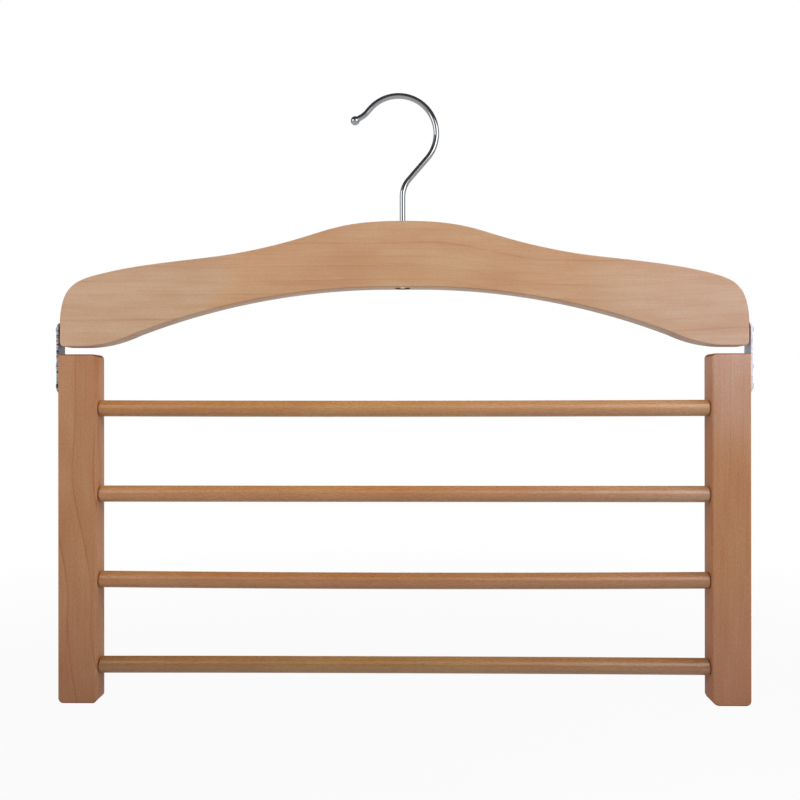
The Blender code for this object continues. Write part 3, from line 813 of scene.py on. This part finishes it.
@dataclass(frozen=True)
class Hook:
    """The wire hook, with the washer and the lock nut that carry the yoke on it."""

    wire: float = 0.0036
    crook_radius: float = 0.0245
    crook_offset: float = 0.0026
    lean_deg: float = 40.9
    bend_radius: float = 0.017
    overrun_deg: float = 49.0
    tip_run: float = 0.0030
    tip_radius: float = 0.014
    tip_deg: float = 19.0
    tip_reach: float = 0.0046
    ball: float = 0.0057
    ball_neck: float = 0.0006  # fillet between the wire and the ball
    wire_end: float = -0.1222
    end_chamfer: float = 0.00036
    washer_diameter: float = 0.009
    washer_thickness: float = 0.001
    washer_bottom: float = -0.1184
    nut_across_flats: float = 0.007
    nut_height: float = 0.0032
    nut_bottom: float = -0.1219
    nut_lead: float = 0.0003  # chamfer at each mouth of the nut's bore
    nut_face: float = 0.97  # how far its round end faces reach, as a share of its flats

    def path(self) -> tuple[np.ndarray, np.ndarray]:
        """The middle of the wire, and its heading from straight up, positive towards +X.

        Runs and arcs follow each other. On an arc the heading a turns evenly, and the point is the arc's
        centre -/+ radius (cos a, -sin a). The bend begins and ends at radius tan (lean / 2) from the corner
        where the shank's line meets the line that touches the crook.

        Returns:
            Points as (x, z), and headings in radians.
        """
        lean = math.radians(self.lean_deg)
        inner = self.crook_radius - self.wire / 2
        centre = np.array([-self.crook_offset, -math.sqrt(inner**2 - self.crook_offset**2)])
        touch = centre + self.crook_radius * np.array([math.cos(lean), -math.sin(lean)])
        corner = touch[1] - touch[0] / math.tan(lean)
        saved = self.bend_radius * math.tan(lean / 2)
        start = self.wire_end + self.end_chamfer
        legs = (  # length of a run or radius of an arc, its turn to the right, and its spans
            (corner - saved - start, 0.0, 24),
            (self.bend_radius, lean, 16),
            (touch[0] / math.sin(lean) - saved, 0.0, 10),
            (self.crook_radius, -(lean + math.pi / 2 + math.radians(self.overrun_deg)), 96),
            (self.tip_run, 0.0, 4),
            (self.tip_radius, math.radians(self.tip_deg), 12),
        )
        points, headings = np.array([[0, start]]), np.zeros(1)
        for size, turn, steps in legs:
            t = np.linspace(0, 1, steps + 1)[1:]
            ahead = headings[-1]
            heading = ahead + turn * t
            if turn:
                whole = np.concatenate([[ahead], heading])
                out = np.stack([-np.cos(whole), np.sin(whole)], axis=1)
                offset = (out[1:] - out[0]) * math.copysign(size, turn)
            else:
                offset = size * t[:, None] * np.array([math.sin(ahead), math.cos(ahead)])
            points = np.concatenate([points, points[-1] + offset])
            headings = np.concatenate([headings, heading])
        return points, headings

    def wire_skin(self) -> Skin:
        """The wire: a ring of its radius across each point of the path, and a lathe profile for its ball.

        The neck is an arc that touches the wire and the ball, and its middle lies
        sqrt((ball + neck)^2 - (wire + neck)^2) before the ball's.

        Returns:
            The closed skin.
        """
        points, headings = self.path()
        radius, ball, neck = self.wire / 2, self.ball / 2, self.ball_neck
        before = math.sqrt((ball + neck) ** 2 - (radius + neck) ** 2)
        tilt = math.atan2(before, radius + neck)
        a = np.linspace(0, tilt, 7)[1:]
        b = np.linspace(math.pi / 2 + tilt, 0, 20)[1:]
        onward = self.tip_reach + np.concatenate([neck * np.sin(a) - before, ball * np.cos(b)])
        tip_radii = np.concatenate([radius + neck - neck * np.cos(a), ball * np.sin(b)])
        forward = np.array([math.sin(headings[-1]), math.cos(headings[-1])])

        start = np.full((2, 2), (0, self.wire_end))
        radii = np.concatenate([[0, radius - self.end_chamfer], np.full(len(points), radius), tip_radii])
        points = np.concatenate([start, points, points[-1] + onward[:, None] * forward])
        headings = np.concatenate([[0, 0], headings, np.full(len(tip_radii), headings[-1])])
        turn = np.linspace(0, 2 * math.pi, WIRE_SIDES, endpoint=False)
        across = np.outer(radii, np.cos(turn))
        x = points[:, :1] + across * np.cos(headings)[:, None]
        y = np.outer(radii, np.sin(turn))
        z = points[:, 1:] - across * np.sin(headings)[:, None]
        return grid_skin(np.stack([x, y, z], axis=-1), ring=True)

    def nut_skin(self) -> Skin:
        """The hexagon nut: its reach at an angle is the flats' over cos of the angle from a flat's middle.

        The corners are turned off at 30 degrees, so a ring of the reach R is lower by (R - face) tan 30.

        Returns:
            The closed skin round Z, with its seat at zero.
        """
        flats = self.nut_across_flats / 2
        bore, lead, face = self.wire / 2 + SEAT_GAP, self.nut_lead, flats * self.nut_face
        a = np.linspace(0, 2 * math.pi, NUT_SIDES, endpoint=False)
        reach = flats / np.cos((a + math.pi / 6) % (math.pi / 3) - math.pi / 6)
        drop = (reach - face) * math.tan(math.radians(30))
        low = [(bore, lead), (bore + lead, 0), (face, 0), (reach, drop)]
        high = [(radius, self.nut_height - height) for radius, height in low[::-1]]
        rows = [[value + 0 * a for value in row] for row in (*low, *high, low[0])]
        return turned(np.array(rows), NUT_SIDES)

    def build(self, chrome: Material, zinc: Material) -> None:
        """Makes the hook's three pieces.

        Args:
            chrome: Finish of the wire.
            zinc: Finish of the washer and the nut.
        """
        make_piece("hook_polished_wire", self.wire_skin(), chrome, "hook", "hook_wire")
        washer = washer_skin(self.wire + 2 * SEAT_GAP, self.washer_diameter, self.washer_thickness)
        washer = washer.carried((0, 0, self.washer_bottom))
        make_piece("hook_bearing_washer", washer, zinc, "hook", "hook_washer")
        nut = self.nut_skin().carried((0, 0, self.nut_bottom))
        make_piece("hook_hexagon_nut", nut, zinc, "hook", "hook_lock_nut")


@dataclass(frozen=True)
class PanScrew:
    """A pan-head screw with a cross recess, round Z, with its head's seat at zero and its point below."""

    diameter: float
    length: float
    head_diameter: float = 0.006
    head_height: float = 0.0012
    head_flat: float = 0.45  # share of the head that is flat on top
    head_crown: float = 0.55  # share of its height that is rounded
    head_chamfer: float = 0.0002
    point_length: float = 0.003
    recess_span: float = 0.0034
    recess_width: float = 0.0008
    recess_depth: float = 0.0007
    recess_over: float = 0.0004  # how far its cutter stands out of the head
    recess_step_deg: float = 37.0  # how much further round each next screw was stopped

    def skin(self) -> Skin:
        """The screw turned from its profile: a flat crown, a quarter ellipse to the rim, shank and point.

        Returns:
            The closed skin.
        """
        head, shank, under = self.head_diameter / 2, self.diameter / 2, self.head_chamfer
        crown, flat = self.head_height * self.head_crown, head * self.head_flat
        a = np.linspace(math.pi / 2, 0, 13)
        rise = self.head_height - crown + crown * np.sin(a)
        dome = np.stack([flat + (head - flat) * np.cos(a), rise], axis=1)
        rest = [(head, under), (head - under, 0), (shank, 0)]
        rest += [(shank, self.point_length - self.length), (0, -self.length)]
        return turned(np.concatenate([[(0, self.head_height)], dome, rest]), WIRE_SIDES)

    def recess(self, turn: float) -> list[Skin]:
        """The cutters of the cross recess: two crossed wedges, narrower below than above.

        Args:
            turn: The angle that the cross is turned by.

        Returns:
            Two closed skins.
        """
        low, high = self.head_height - self.recess_depth, self.head_height + self.recess_over
        shares = ((low, 0.45, 0.7), (high, 1.1, 1.15))  # of the span and of the width, at each height
        square = np.array([(-1, -1), (1, -1), (1, 1), (-1, 1)])
        faces = [(3, 2, 1, 0), (4, 5, 6, 7), (0, 1, 5, 4), (1, 2, 6, 5), (2, 3, 7, 6), (3, 0, 4, 7)]
        wedges = []
        for angle in (turn, turn + math.pi / 2):
            ways = np.array([(math.cos(angle), math.sin(angle)), (-math.sin(angle), math.cos(angle))])
            corners = []
            for height, reach, width in shares:
                flat = square * (reach * self.recess_span / 2, width * self.recess_width / 2) @ ways
                corners.append(np.column_stack([flat, np.full(4, height)]))
            wedges.append(Skin(np.concatenate(corners), np.array(faces), np.zeros(8)))
        return wedges

    def build(
        self, name: str, node: str, body: str, side: int, height: float, place: int, zinc: Material
    ) -> None:
        """Makes one screw, driven in from the outside.

        Args:
            name: The piece's name.
            node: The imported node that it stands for.
            body: The body that it moves with.
            side: -1 for the left end of the hanger, 1 for the right one.
            height: Where it is driven in.
            place: Its place in the row of screws, which decides how its cross is turned.
            zinc: Its finish.
        """
        seat, along = (side * HEAD_SEAT, 0, height), (side, 0, 0)
        recess = self.recess(math.radians(self.recess_step_deg * (place + 0.5)))
        cutters = [wedge.carried(seat, along) for wedge in recess]
        make_piece(name, self.skin().carried(seat, along), zinc, body, node, cutters)


# The yoke

@dataclass(frozen=True)
class Yoke:
    """The arched board at the top, with a washer and a pivot screw at each end."""

    length: float = 0.440
    depth: float = 0.014
    top: float = -0.0803
    underside: float = -0.1225
    foot: float = -0.1603
    rim: float = 0.0007
    crown_reach: float = 0.105
    crown_fall: float = 0.0201
    crown_slope: float = 0.183
    shoulder_length: float = 0.033
    shoulder_fall: float = 0.0116
    shoulder_slope: float = 0.221
    arch_inset: float = 0.048
    arch_rise: float = 0.008
    arch_slope: float = 0.381
    foot_length: float = 0.014
    foot_corner: float = 0.003
    crown_handles: Pair = (0.485, 0.548)  # of each curve, as shares of what it spans
    flank_handles: Pair = (0.264, 0.322)
    end_handles: Pair = (0.72, 0.79)
    arch_handles: Pair = (0.10, 0.49)
    foot_handles: Pair = (0.06, 0.53)
    hook_bore: float = 0.0042
    counterbore: float = 0.010
    counterbore_top: float = -0.1171
    spacer_diameter: float = 0.0082
    spacer_thickness: float = 0.001
    screw: PanScrew = PanScrew(0.004, 0.022)

    def top_edge(self) -> np.ndarray:
        """The right half of the top, from the middle over the crown, the flank and the shoulder to the end.

        Returns:
            Its points.
        """
        half, reach, top = self.length / 2, self.crown_reach, self.top
        crown_end = np.array([reach, top - self.crown_fall])
        shoulder = np.array([half - self.shoulder_length, crown_end[1] - self.shoulder_fall])
        flank = shoulder[0] - reach
        crown_way, shoulder_way = (np.array([1, -slope]) for slope in (self.crown_slope, self.shoulder_slope))
        leave, arrive = self.crown_handles
        crown = ((0, top), (reach * leave, top), crown_end - crown_way * reach * arrive, crown_end)
        leave, arrive = (share * flank for share in self.flank_handles)
        middle = (crown_end, crown_end + crown_way * leave, shoulder - shoulder_way * arrive, shoulder)
        leave, arrive = self.end_handles
        over = shoulder + shoulder_way * self.shoulder_length * leave
        end = (shoulder, over, (half, PIVOT + (shoulder[1] - PIVOT) * arrive), (half, PIVOT))
        return chained(bezier(crown, 64), bezier(middle, 24), bezier(end, 44))

    def under_edge(self) -> np.ndarray:
        """The right half of the underside, from the middle along the arch and the foot up to the end.

        Returns:
            Its points.
        """
        half, low = self.length / 2, self.underside
        arch_end = np.array([half - self.arch_inset, self.foot + self.arch_rise])
        foot_start = np.array([half - self.foot_length, self.foot])
        reach, run = arch_end[0], foot_start[0] - arch_end[0]
        way = np.array([1, -self.arch_slope])
        leave, arrive = self.arch_handles
        arch = ((0, low), (reach * leave, low), arch_end - way * reach * arrive, arch_end)
        leave, arrive = self.foot_handles
        end = (arch_end, arch_end + way * run * leave, (foot_start[0] - run * arrive, self.foot), foot_start)
        corner = fillet(foot_start, (half, self.foot), (half, PIVOT), self.foot_corner, 12)
        foot, side = line(foot_start, corner[0], 10), line(corner[-1], (half, PIVOT), 6)
        return chained(bezier(arch, 74), bezier(end, 30), foot, corner, side)

    def board(self) -> Skin:
        """The board between its top and its underside, each mirrored to the left.

        Returns:
            The closed skin.
        """
        halves = (self.top_edge(), self.under_edge())
        runs = [np.concatenate([half[:0:-1] * (-1, 1), half]) for half in halves]
        return Plate(*runs, self.depth, self.rim, rungs=14).skin()

    def build(self, wood: Material, zinc: Material) -> None:
        """Makes the board with its bores, the two spacer washers and the two pivot screws.

        Args:
            wood: Finish of the board.
            zinc: Finish of the washers and screws.
        """
        bores = [
            drill(self.hook_bore, self.counterbore_top - CUT_OVER, self.top + CUT_OVER),
            drill(self.counterbore, self.underside - CUT_OVER, self.counterbore_top),
        ]
        bore, half = self.screw.diameter + 2 * SEAT_GAP, self.length / 2
        pilot = drill(bore, HEAD_SEAT - self.screw.length - SEAT_GAP, half + CUT_OVER)
        bores += [pilot.carried((0, 0, PIVOT), (side, 0, 0)) for side in SIDES.values()]
        make_piece("yoke_arched_board", self.board(), wood, "yoke", "yoke", bores)
        washer = washer_skin(bore, self.spacer_diameter, self.spacer_thickness)
        for place, (name, side) in enumerate(SIDES.items()):
            spacer = washer.carried((side * (half + SEAT_GAP), 0, PIVOT), (side, 0, 0))
            make_piece(f"yoke_{name}_spacer", spacer, zinc, "yoke", f"{name}_spacer_washer")
            piece = f"yoke_{name}_pivot_screw"
            self.screw.build(piece, f"{name}_pivot_screw", "yoke", side, PIVOT, place, zinc)


# The rack

@dataclass(frozen=True)
class Rack:
    """Two uprights with four round bars glued between them."""

    outer: float = 0.2213
    inner: float = 0.1963
    top: float = -0.1651
    bottom: float = -0.3892
    depth: float = 0.014
    rim: float = 0.0015
    top_outer_round: float = 0.0018
    top_inner_round: float = 0.0030
    bottom_outer_round: float = 0.0035
    right_inner_round: float = 0.0050
    left_chamfer: float = 0.0020
    left_softening: float = 0.001364  # radius of the round at each end of that chamfer
    bar_heights: tuple[float, ...] = (-0.1999, -0.2553, -0.3107, -0.3661)
    bar_sags: tuple[float, ...] = (0.0004, 0.0, 0.0008, -0.0004)  # bow of each bar, positive downwards
    bar_diameter: float = 0.0105
    bar_rim: float = 0.0004
    joint_ring: float = 0.0007  # how far the darker ring at a bar's joint with an upright reaches along it
    tenon_diameter: float = 0.0075
    tenon_length: float = 0.012
    pilot_diameter: float = 0.0041
    pilot_reach: float = 0.0143

    def upright(self, side: int) -> Skin:
        """One upright, between its outer and its inner side.

        Args:
            side: -1 for the left one, 1 for the right one.

        Returns:
            The skin.
        """
        middle = side * (self.outer + self.inner) / 2
        start, end = (middle, self.top), (middle, self.bottom)
        runs = []
        for x, high_round, low_round in (
            (side * self.outer, self.top_outer_round, self.bottom_outer_round),
            (side * self.inner, self.top_inner_round, self.right_inner_round),
        ):
            upper, lower = (x, self.top), (x, self.bottom)
            high_corner = fillet(start, upper, lower, high_round, 12)
            low_corner = fillet(upper, lower, end, low_round, 13)
            if side < 0 and runs:  # the left one's inner corner is cut off instead
                high, low = (x, self.bottom + self.left_chamfer), (x + side * self.left_chamfer, self.bottom)
                bends = ((upper, high, low), (high, low, end))
                low_corner = np.concatenate([fillet(*bend, self.left_softening, 6) for bend in bends])
            edge = line(high_corner[-1], low_corner[0], 64)[1:-1]
            runs.append(np.concatenate([[start], high_corner, edge, low_corner, [end]]))
        return Plate(*runs, self.depth, self.rim, rungs=10).skin()

    def bar(self, height: float, sag: float) -> Skin:
        """One bar: a turned profile with softened shoulders and tenons, let down by sag (1 - (x / half)^2).

        Args:
            height: Where its ends are.
            sag: How much lower its middle is.

        Returns:
            The skin.
        """
        shoulder = self.inner - SEAT_GAP
        end = shoulder + self.tenon_length
        radius, tenon = self.bar_diameter / 2, self.tenon_diameter / 2
        corners = [(0, end, 0), (tenon, end, self.bar_rim), (tenon, shoulder, 0)]
        corners += [(radius, shoulder, self.bar_rim), (radius, 0, 0)]
        half = rounded_corners(corners, 5)[:-1]
        low = shoulder - self.bar_rim - self.joint_ring
        body = line((radius, low), (radius, -low), 40)
        skin = turned(np.concatenate([half, body, (half * (1, -1))[::-1]]), ROUND_SIDES)
        skin = skin.carried((0, 0, height), (1, 0, 0))
        out = np.abs(skin.points[:, 0])
        skin.edge[:] = np.clip((out - shoulder) / self.joint_ring + 1, 0, 1)
        skin.points[:, 2] -= sag * (1 - np.clip(out / shoulder, 0, 1) ** 2)
        return skin

    def build(self, woods: dict[str, Material]) -> None:
        """Makes the uprights with their sockets and pilot holes, and the bars.

        Args:
            woods: The finish of each piece by its name.
        """
        tenon = self.tenon_diameter + 2 * SEAT_GAP
        socket = drill(tenon, self.inner - CUT_OVER, self.inner + self.tenon_length)
        pilot = drill(self.pilot_diameter, HEAD_SEAT - self.pilot_reach, self.outer + CUT_OVER)
        for name, side in SIDES.items():
            cutters = [socket.carried((0, 0, z), (side, 0, 0)) for z in self.bar_heights]
            cutters += [pilot.carried((0, 0, z), (side, 0, 0)) for z in FIXINGS.values()]
            piece, node = f"rack_{name}_board", f"{name}_upright"
            make_piece(piece, self.upright(side), woods[piece], "rack", node, cutters)
        for i, (height, sag) in enumerate(zip(self.bar_heights, self.bar_sags), 1):
            piece = f"rack_round_bar_{i}"
            make_piece(piece, self.bar(height, sag), woods[piece], "rack", f"rack_bar_{i}")


# The link straps

@dataclass(frozen=True)
class Links:
    """The two metal straps that carry the rack, each with two fixing screws."""

    inner: float = 0.2216
    thickness: float = 0.0015
    width: float = 0.0095
    rim: float = 0.0002
    pivot_hole: float = 0.0046
    fixing_hole: float = 0.0041
    screw: PanScrew = PanScrew(0.0035, 0.014)

    def strap(self, side: int) -> Skin:
        """One strap: half circles round its pivot and its lower screw, with straight sides between them.

        Args:
            side: -1 for the left one, 1 for the right one.

        Returns:
            The skin.
        """
        half = self.width / 2
        a = np.linspace(math.pi / 2, 0, 17)
        upper = np.stack([half * np.cos(a), PIVOT + half * np.sin(a)], axis=1)
        lower = np.stack([half * np.cos(a), FIXINGS["lower"] - half * np.sin(a)], axis=1)[::-1]
        run = np.concatenate([upper, line(upper[-1], lower[0], 18)[1:-1], lower])
        middle = side * (self.inner + self.thickness / 2)
        fineness = {"rungs": 6, "rim_steps": 3, "lip": 0.00005}
        return Plate(run * (-1, 1), run, self.thickness, self.rim, Lie.SIDEWAYS, middle, **fineness).skin()

    def build(self, zinc: Material, plates: dict[str, Material]) -> None:
        """Makes the straps with their holes, and the fixing screws.

        Args:
            zinc: Finish of the screws.
            plates: Finish of each side's strap.
        """
        low, high = self.inner - CUT_OVER, self.inner + self.thickness + CUT_OVER
        place = len(SIDES)  # the screws are counted on from the two pivot screws
        for name, side in SIDES.items():
            along = (side, 0, 0)
            holes = [drill(self.pivot_hole, low, high).carried((0, 0, PIVOT), along)]
            holes += [drill(self.fixing_hole, low, high).carried((0, 0, z), along) for z in FIXINGS.values()]
            piece, node = f"link_{name}_plate", f"{name}_link_strap"
            make_piece(piece, self.strap(side), plates[name], "rack", node, holes)
            for level, z in FIXINGS.items():
                piece, node = f"link_{name}_{level}_screw", f"{name}_{level}_fixing_screw"
                self.screw.build(piece, node, "rack", side, z, place, zinc)
                place += 1


# The studio

@dataclass(frozen=True)
class Lamp:
    """One soft rectangular lamp.

    Args:
        name: Its name.
        place: Where it stands.
        target: What it is turned to.
        size: Its width and height.
        power: Its power in watts.
        mirrored: Whether metal shows it.
    """

    name: str
    place: Spot
    target: Spot
    size: Pair
    power: float
    mirrored: bool = True

    def build(self) -> None:
        """Puts the lamp in the scene."""
        light = bpy.data.lights.new(self.name, "AREA")
        light.shape = "RECTANGLE"
        light.size, light.size_y = self.size
        light.energy = self.power
        lamp = bpy.data.objects.new(self.name, light)
        bpy.context.scene.collection.objects.link(lamp)
        aim = Vector(self.target) - Vector(self.place)
        lamp.matrix_world = Matrix.Translation(self.place) @ aim.to_track_quat("-Z", "Y").to_matrix().to_4x4()
        lamp.visible_camera = False
        lamp.visible_glossy = self.mirrored


@dataclass(frozen=True)
class Studio:
    """The white room round the hanger: camera, lamps, pale floor and surroundings."""

    camera_place: Spot = (0.0047555, -0.4884372, -0.1950225)
    camera_yaw: float = 0.013254
    camera_pitch: float = 0.000775
    camera_roll: float = 0.000806
    focal_pixels: float = 755.62
    image_pixels: int = 800
    sensor: float = 36.0
    floor_height: float = -0.62
    floor_reach: float = 2.4
    floor_colour: str = "E6E6E6"
    floor_white: float = 0.88  # how white by itself the camera sees the floor's middle
    floor_rim: Pair = (0.7, 1.9)  # how far out it turns to plain white
    glow: tuple[float, ...] = (1.0, 1.0, 1.0, 1.0)  # colour of whatever is white by itself
    ambient: float = 0.38
    side_panels: float = 0.3  # how bright metal sees the walls at its left and right
    table: float = 0.4  # the grey table in front of and under the hanger
    table_edge: Pair = (1.0, 1.8)  # where it ends behind the hanger
    ceiling: float = 0.05
    lamps: tuple[Lamp, ...] = (
        Lamp("key softbox", (0.02, -0.42, 0.24), (0.0, 0.0, -0.12), (1.2, 0.3), 1.85, mirrored=False),
        Lamp("left front softbox", (-0.60, -0.40, 0.06), (0.0, 0.0, -0.2), (0.42, 0.4), 0.75),
        Lamp("right front softbox", (0.46, -0.50, 0.10), (0.0, 0.0, -0.2), (0.55, 0.46), 1.3),
        Lamp("left fill", (-0.70, -0.02, 0.20), (0.1, 0.0, -0.20), (0.5, 0.4), 2.2, mirrored=False),
        Lamp("right fill", (0.70, -0.02, 0.20), (-0.1, 0.0, -0.20), (0.5, 0.4), 5.2, mirrored=False),
        Lamp("table bounce", (0.0, 0.05, -0.95), (0.0, 0.0, -0.15), (1.0, 0.5), 3.8, mirrored=False),
    )

    def camera(self) -> None:
        """Puts the camera where the hanger is seen from, turned by its yaw, pitch and roll."""
        data = bpy.data.cameras.new("camera")
        data.sensor_width = self.sensor
        data.lens = self.focal_pixels / self.image_pixels * self.sensor
        data.clip_start, data.clip_end = 0.01, 20.0
        camera = bpy.data.objects.new("camera", data)
        bpy.context.scene.collection.objects.link(camera)
        turn = Matrix.Rotation(self.camera_yaw, 3, "Z") @ Matrix.Rotation(self.camera_pitch, 3, "X")
        turn = turn @ Matrix.Rotation(self.camera_roll, 3, "Y") @ Matrix.Rotation(math.pi / 2, 3, "X")
        camera.matrix_world = Matrix.Translation(self.camera_place) @ turn.to_4x4()
        bpy.context.scene.camera = camera

    def floor(self) -> None:
        """A round pale floor under the hanger: white to the camera but for a soft shadow, and at its rim."""
        reach = np.linspace(0, self.floor_reach, 9)
        skin = turned(np.stack([reach, np.full(9, self.floor_height)], axis=1), ROUND_SIDES)
        floor = bpy.data.objects.new("floor", mesh_of("floor", skin))
        bpy.context.scene.collection.objects.link(floor)
        material, tree, shader = new_material("pale matt floor")
        matt = {"Base Color": linear(self.floor_colour), "Roughness": 0.9, "Specular IOR Level": 0.1}
        fill(tree, shader, matt)
        place = add(tree, "TexCoord")["Object"]
        far = add(tree, "VectorMath", (place,), operation="LENGTH")["Value"]
        rays = add(tree, "LightPath")
        shown = rays["Is Camera Ray"]
        for ray in ("Is Glossy Ray", "Is Transmission Ray"):
            shown = add(tree, "Math", (shown, rays[ray]), operation="MAXIMUM")[0]
        white = add(tree, "MapRange", (far, *self.floor_rim, self.floor_white, 1.0))[0]
        white = add(tree, "Math", (white, shown), operation="MULTIPLY")[0]
        depth = add(tree, "SeparateXYZ", (place,))[1]
        grey = add(tree, "MapRange", (depth, *self.table_edge, self.table, 1.0))[0]
        grey = add(tree, "Math", (grey, rays["Is Camera Ray"]), operation="MAXIMUM")[0]
        glow = add(tree, "Emission", (self.glow, grey))[0]
        mix = add(tree, "MixShader", (white, shader.outputs[0], glow))[0]
        fill(tree, tree.nodes["Material Output"], {"Surface": mix})
        floor.data.materials.append(material)

    def surroundings(self) -> None:
        """The room: dim and even on the hanger, white to the camera, and in metal white behind the hanger.

        Metal also sees grey walls at the sides, the grey table, the dark ceiling and the dark place where the
        camera stands, which draw its lines.
        """
        world = bpy.data.worlds.new("white room")
        bpy.context.scene.world = world
        world.use_nodes = True
        tree = world.node_tree
        tree.nodes.clear()
        rays = add(tree, "LightPath")
        x, y, z = add(tree, "SeparateXYZ", (add(tree, "TexCoord")["Generated"],))
        flat = add(tree, "CombineXYZ", {0: x, 2: z})[0]
        flat = add(tree, "VectorMath", (flat,), operation="NORMALIZE")[0]
        across, _, up = add(tree, "SeparateXYZ", (flat,))
        across = add(tree, "Math", (across,), operation="ABSOLUTE")[0]
        near = add(tree, "MapRange", (y, 0.0, -0.25, 0.9, 1.0))[0]
        panels = (  # the way to each, where it begins and is whole, its level, whether it fades to the front
            (across, 0.72, 0.92, self.side_panels, True),
            (up, -0.55, -0.8, self.table, True),
            (y, 0.955, 0.985, 1.0, False),
        )
        bright = self.ceiling
        for way, start, end, level, fading in panels:
            share = add(tree, "MapRange", (way, start, end, 0.0, level))[0]
            if fading:
                share = add(tree, "Math", (share, near), operation="MULTIPLY")[0]
            bright = add(tree, "Math", (share, bright), operation="MAXIMUM")[0]
        levels = (self.ambient, bright, 1.0)
        light, mirrored, white = (add(tree, "Background", (self.glow, level))[0] for level in levels)
        for ray, seen in (("Glossy", mirrored), ("Transmission", white), ("Camera", white)):
            light = add(tree, "MixShader", (rays[f"Is {ray} Ray"], light, seen))[0]
        add(tree, "OutputWorld", {"Surface": light})

    def build(self) -> None:
        """Sets up the camera, the floor, the surroundings and the lamps."""
        self.camera()
        self.floor()
        self.surroundings()
        for lamp in self.lamps:
            lamp.build()
        bpy.context.scene.view_settings.view_transform = "Standard"


# The hanger's finishes

def board_woods() -> dict[str, LacqueredBeech]:
    """The wood of each piece: all are beech, each from its own part of the log.

    Returns:
        The wood by the piece's name.
    """
    # Near the middle the tones are set lighter to lift a dip in the board's light: painted light.
    yoke_tones = ((-183, "C9AA8F"), (-84, "C6A587"), (-66, "C8A17D"), (-11, "C49D7A"), (32, "C7A481"))
    yoke_tones += ((78, "C49F7D"), (150, "C29C7B"), (196, "C4A68D"), (267, "C4A692"))
    yoke = LacqueredBeech(
        "lacquered beech, arched board",
        Grain.ALONG_X,
        yoke_tones,
        tone_tilt=-0.35,
        ring_spacing=8.0,
        ring_depth=0.42,
        bends=((18, 96, -12.0), (125, 222, 6.0)),
        wander=3.0,
        side_gloss=1.0,
    )
    left = LacqueredBeech(
        "lacquered beech, left upright",
        Grain.ALONG_Z,
        # Its tones darken towards the foot, partly as painted shade of light falling off downward.
        ((-390, "A07455"), (-300, "B58764"), (-160, "B88B67")),
        ring_spacing=15.0,
        ring_slope=0.03,
        ring_depth=0.6,
        ring_tint="D8A47A",
        bends=((-330, -235, 16.0), (-420, -330, 12.0)),
        wander=5.0,
        grit_depth=0.25,
        edge_depth=0.0,
    )
    right = LacqueredBeech(
        "lacquered beech, right upright",
        Grain.ALONG_Z,
        # Its pale top tone is a painted reflection of the right front softbox in its lacquer; its tones
        # darken towards the foot, partly as painted shade of light falling off downward.
        ((-390, "A4765A"), (-344, "B08468"), (-285, "B38662"), (-235, "B38460"), (-160, "C3A596")),
        ring_spacing=5.5,
        ring_slope=0.02,
        ring_depth=0.35,
        wander=2.0,
        fibre_depth=0.45,
        grit_depth=0.25,
        # Painted shade: its narrow sides are tinted darker, as they are turned from the light.
        side_tint="FFECD6",
        edge_depth=0.0,
        shift=(0, 0, 37.0),
    )
    woods = {"yoke_arched_board": yoke, "rack_left_board": left, "rack_right_board": right}
    # The lower bars have darker tones, partly as painted shade of light falling off downward.
    sticks = (  # slope of the rings, and the ground colour at the left, in the middle and at the right
        (0.012, "B88144", "C08F57", "C09469"),
        (-0.009, "C18F5E", "BB8652", "B79374"),
        (0.006, "B78553", "AC7949", "AC7D55"),
        (-0.014, "996D3E", "A27B46", "9F7553"),
    )
    for i, (slope, *tones) in enumerate(sticks):
        woods[f"rack_round_bar_{i + 1}"] = LacqueredBeech(
            f"turned and lacquered beech, bar {i + 1}",
            Grain.ALONG_X,
            tuple(zip((-210, 0, 210), tones)),
            ring_spacing=6.0,
            ring_slope=slope,
            ring_depth=0.4,
            wander=2.5,
            fibre_length=18.0,
            fibre_depth=0.45,
            grit_depth=0.35,
            pore_depth=0.3,
            # the darker ring where each bar meets an upright
            edge_tint="9A6240",
            edge_depth=0.8,
            relief=0.12,
            roughness=0.28,
            gloss=1.0,
            turning=0.9,
            shift=(140.0 * (i + 1), 31.0 * i, 17.0 * i),
        )
    return woods


def strap_plates() -> dict[str, ZincPlate]:
    """The plating of each side's strap: the left one's edges are torn in near-black patches, and the right
    one is a whiter, lit copy whose matt edges are a painted reflection of the front right lamp.

    Returns:
        The plating by side.
    """
    torn = {"colour": "C8CAD0", "dull": "9C9FA8", "sheared": "202024", "matt_edge": 0.6}
    # painted light: a whiter, lit copy of the plating, whose matt edges are a painted reflection of the front
    # right lamp
    lamp_lit = {"colour": "ECF0FC", "dull": "D6DBE9", "shear_marks": 0.2, "matt_edge": 0.9}
    return {
        "left": ZincPlate("zinc plate on a torn stamping", **torn),
        "right": ZincPlate("zinc plate on a clean stamping", **lamp_lit),
    }


def main() -> None:
    """Builds the studio and the hanger."""
    logging.basicConfig(level=logging.INFO, format="%(message)s")
    Studio().build()
    woods = {name: wood.make() for name, wood in board_woods().items()}
    chrome = PolishedChrome().make()
    zinc = ZincPlate().make()
    Hook().build(chrome, zinc)
    Yoke().build(woods["yoke_arched_board"], zinc)
    Rack().build(woods)
    Links().build(zinc, {name: plate.make() for name, plate in strap_plates().items()})


if __name__ == "__main__":
    main()
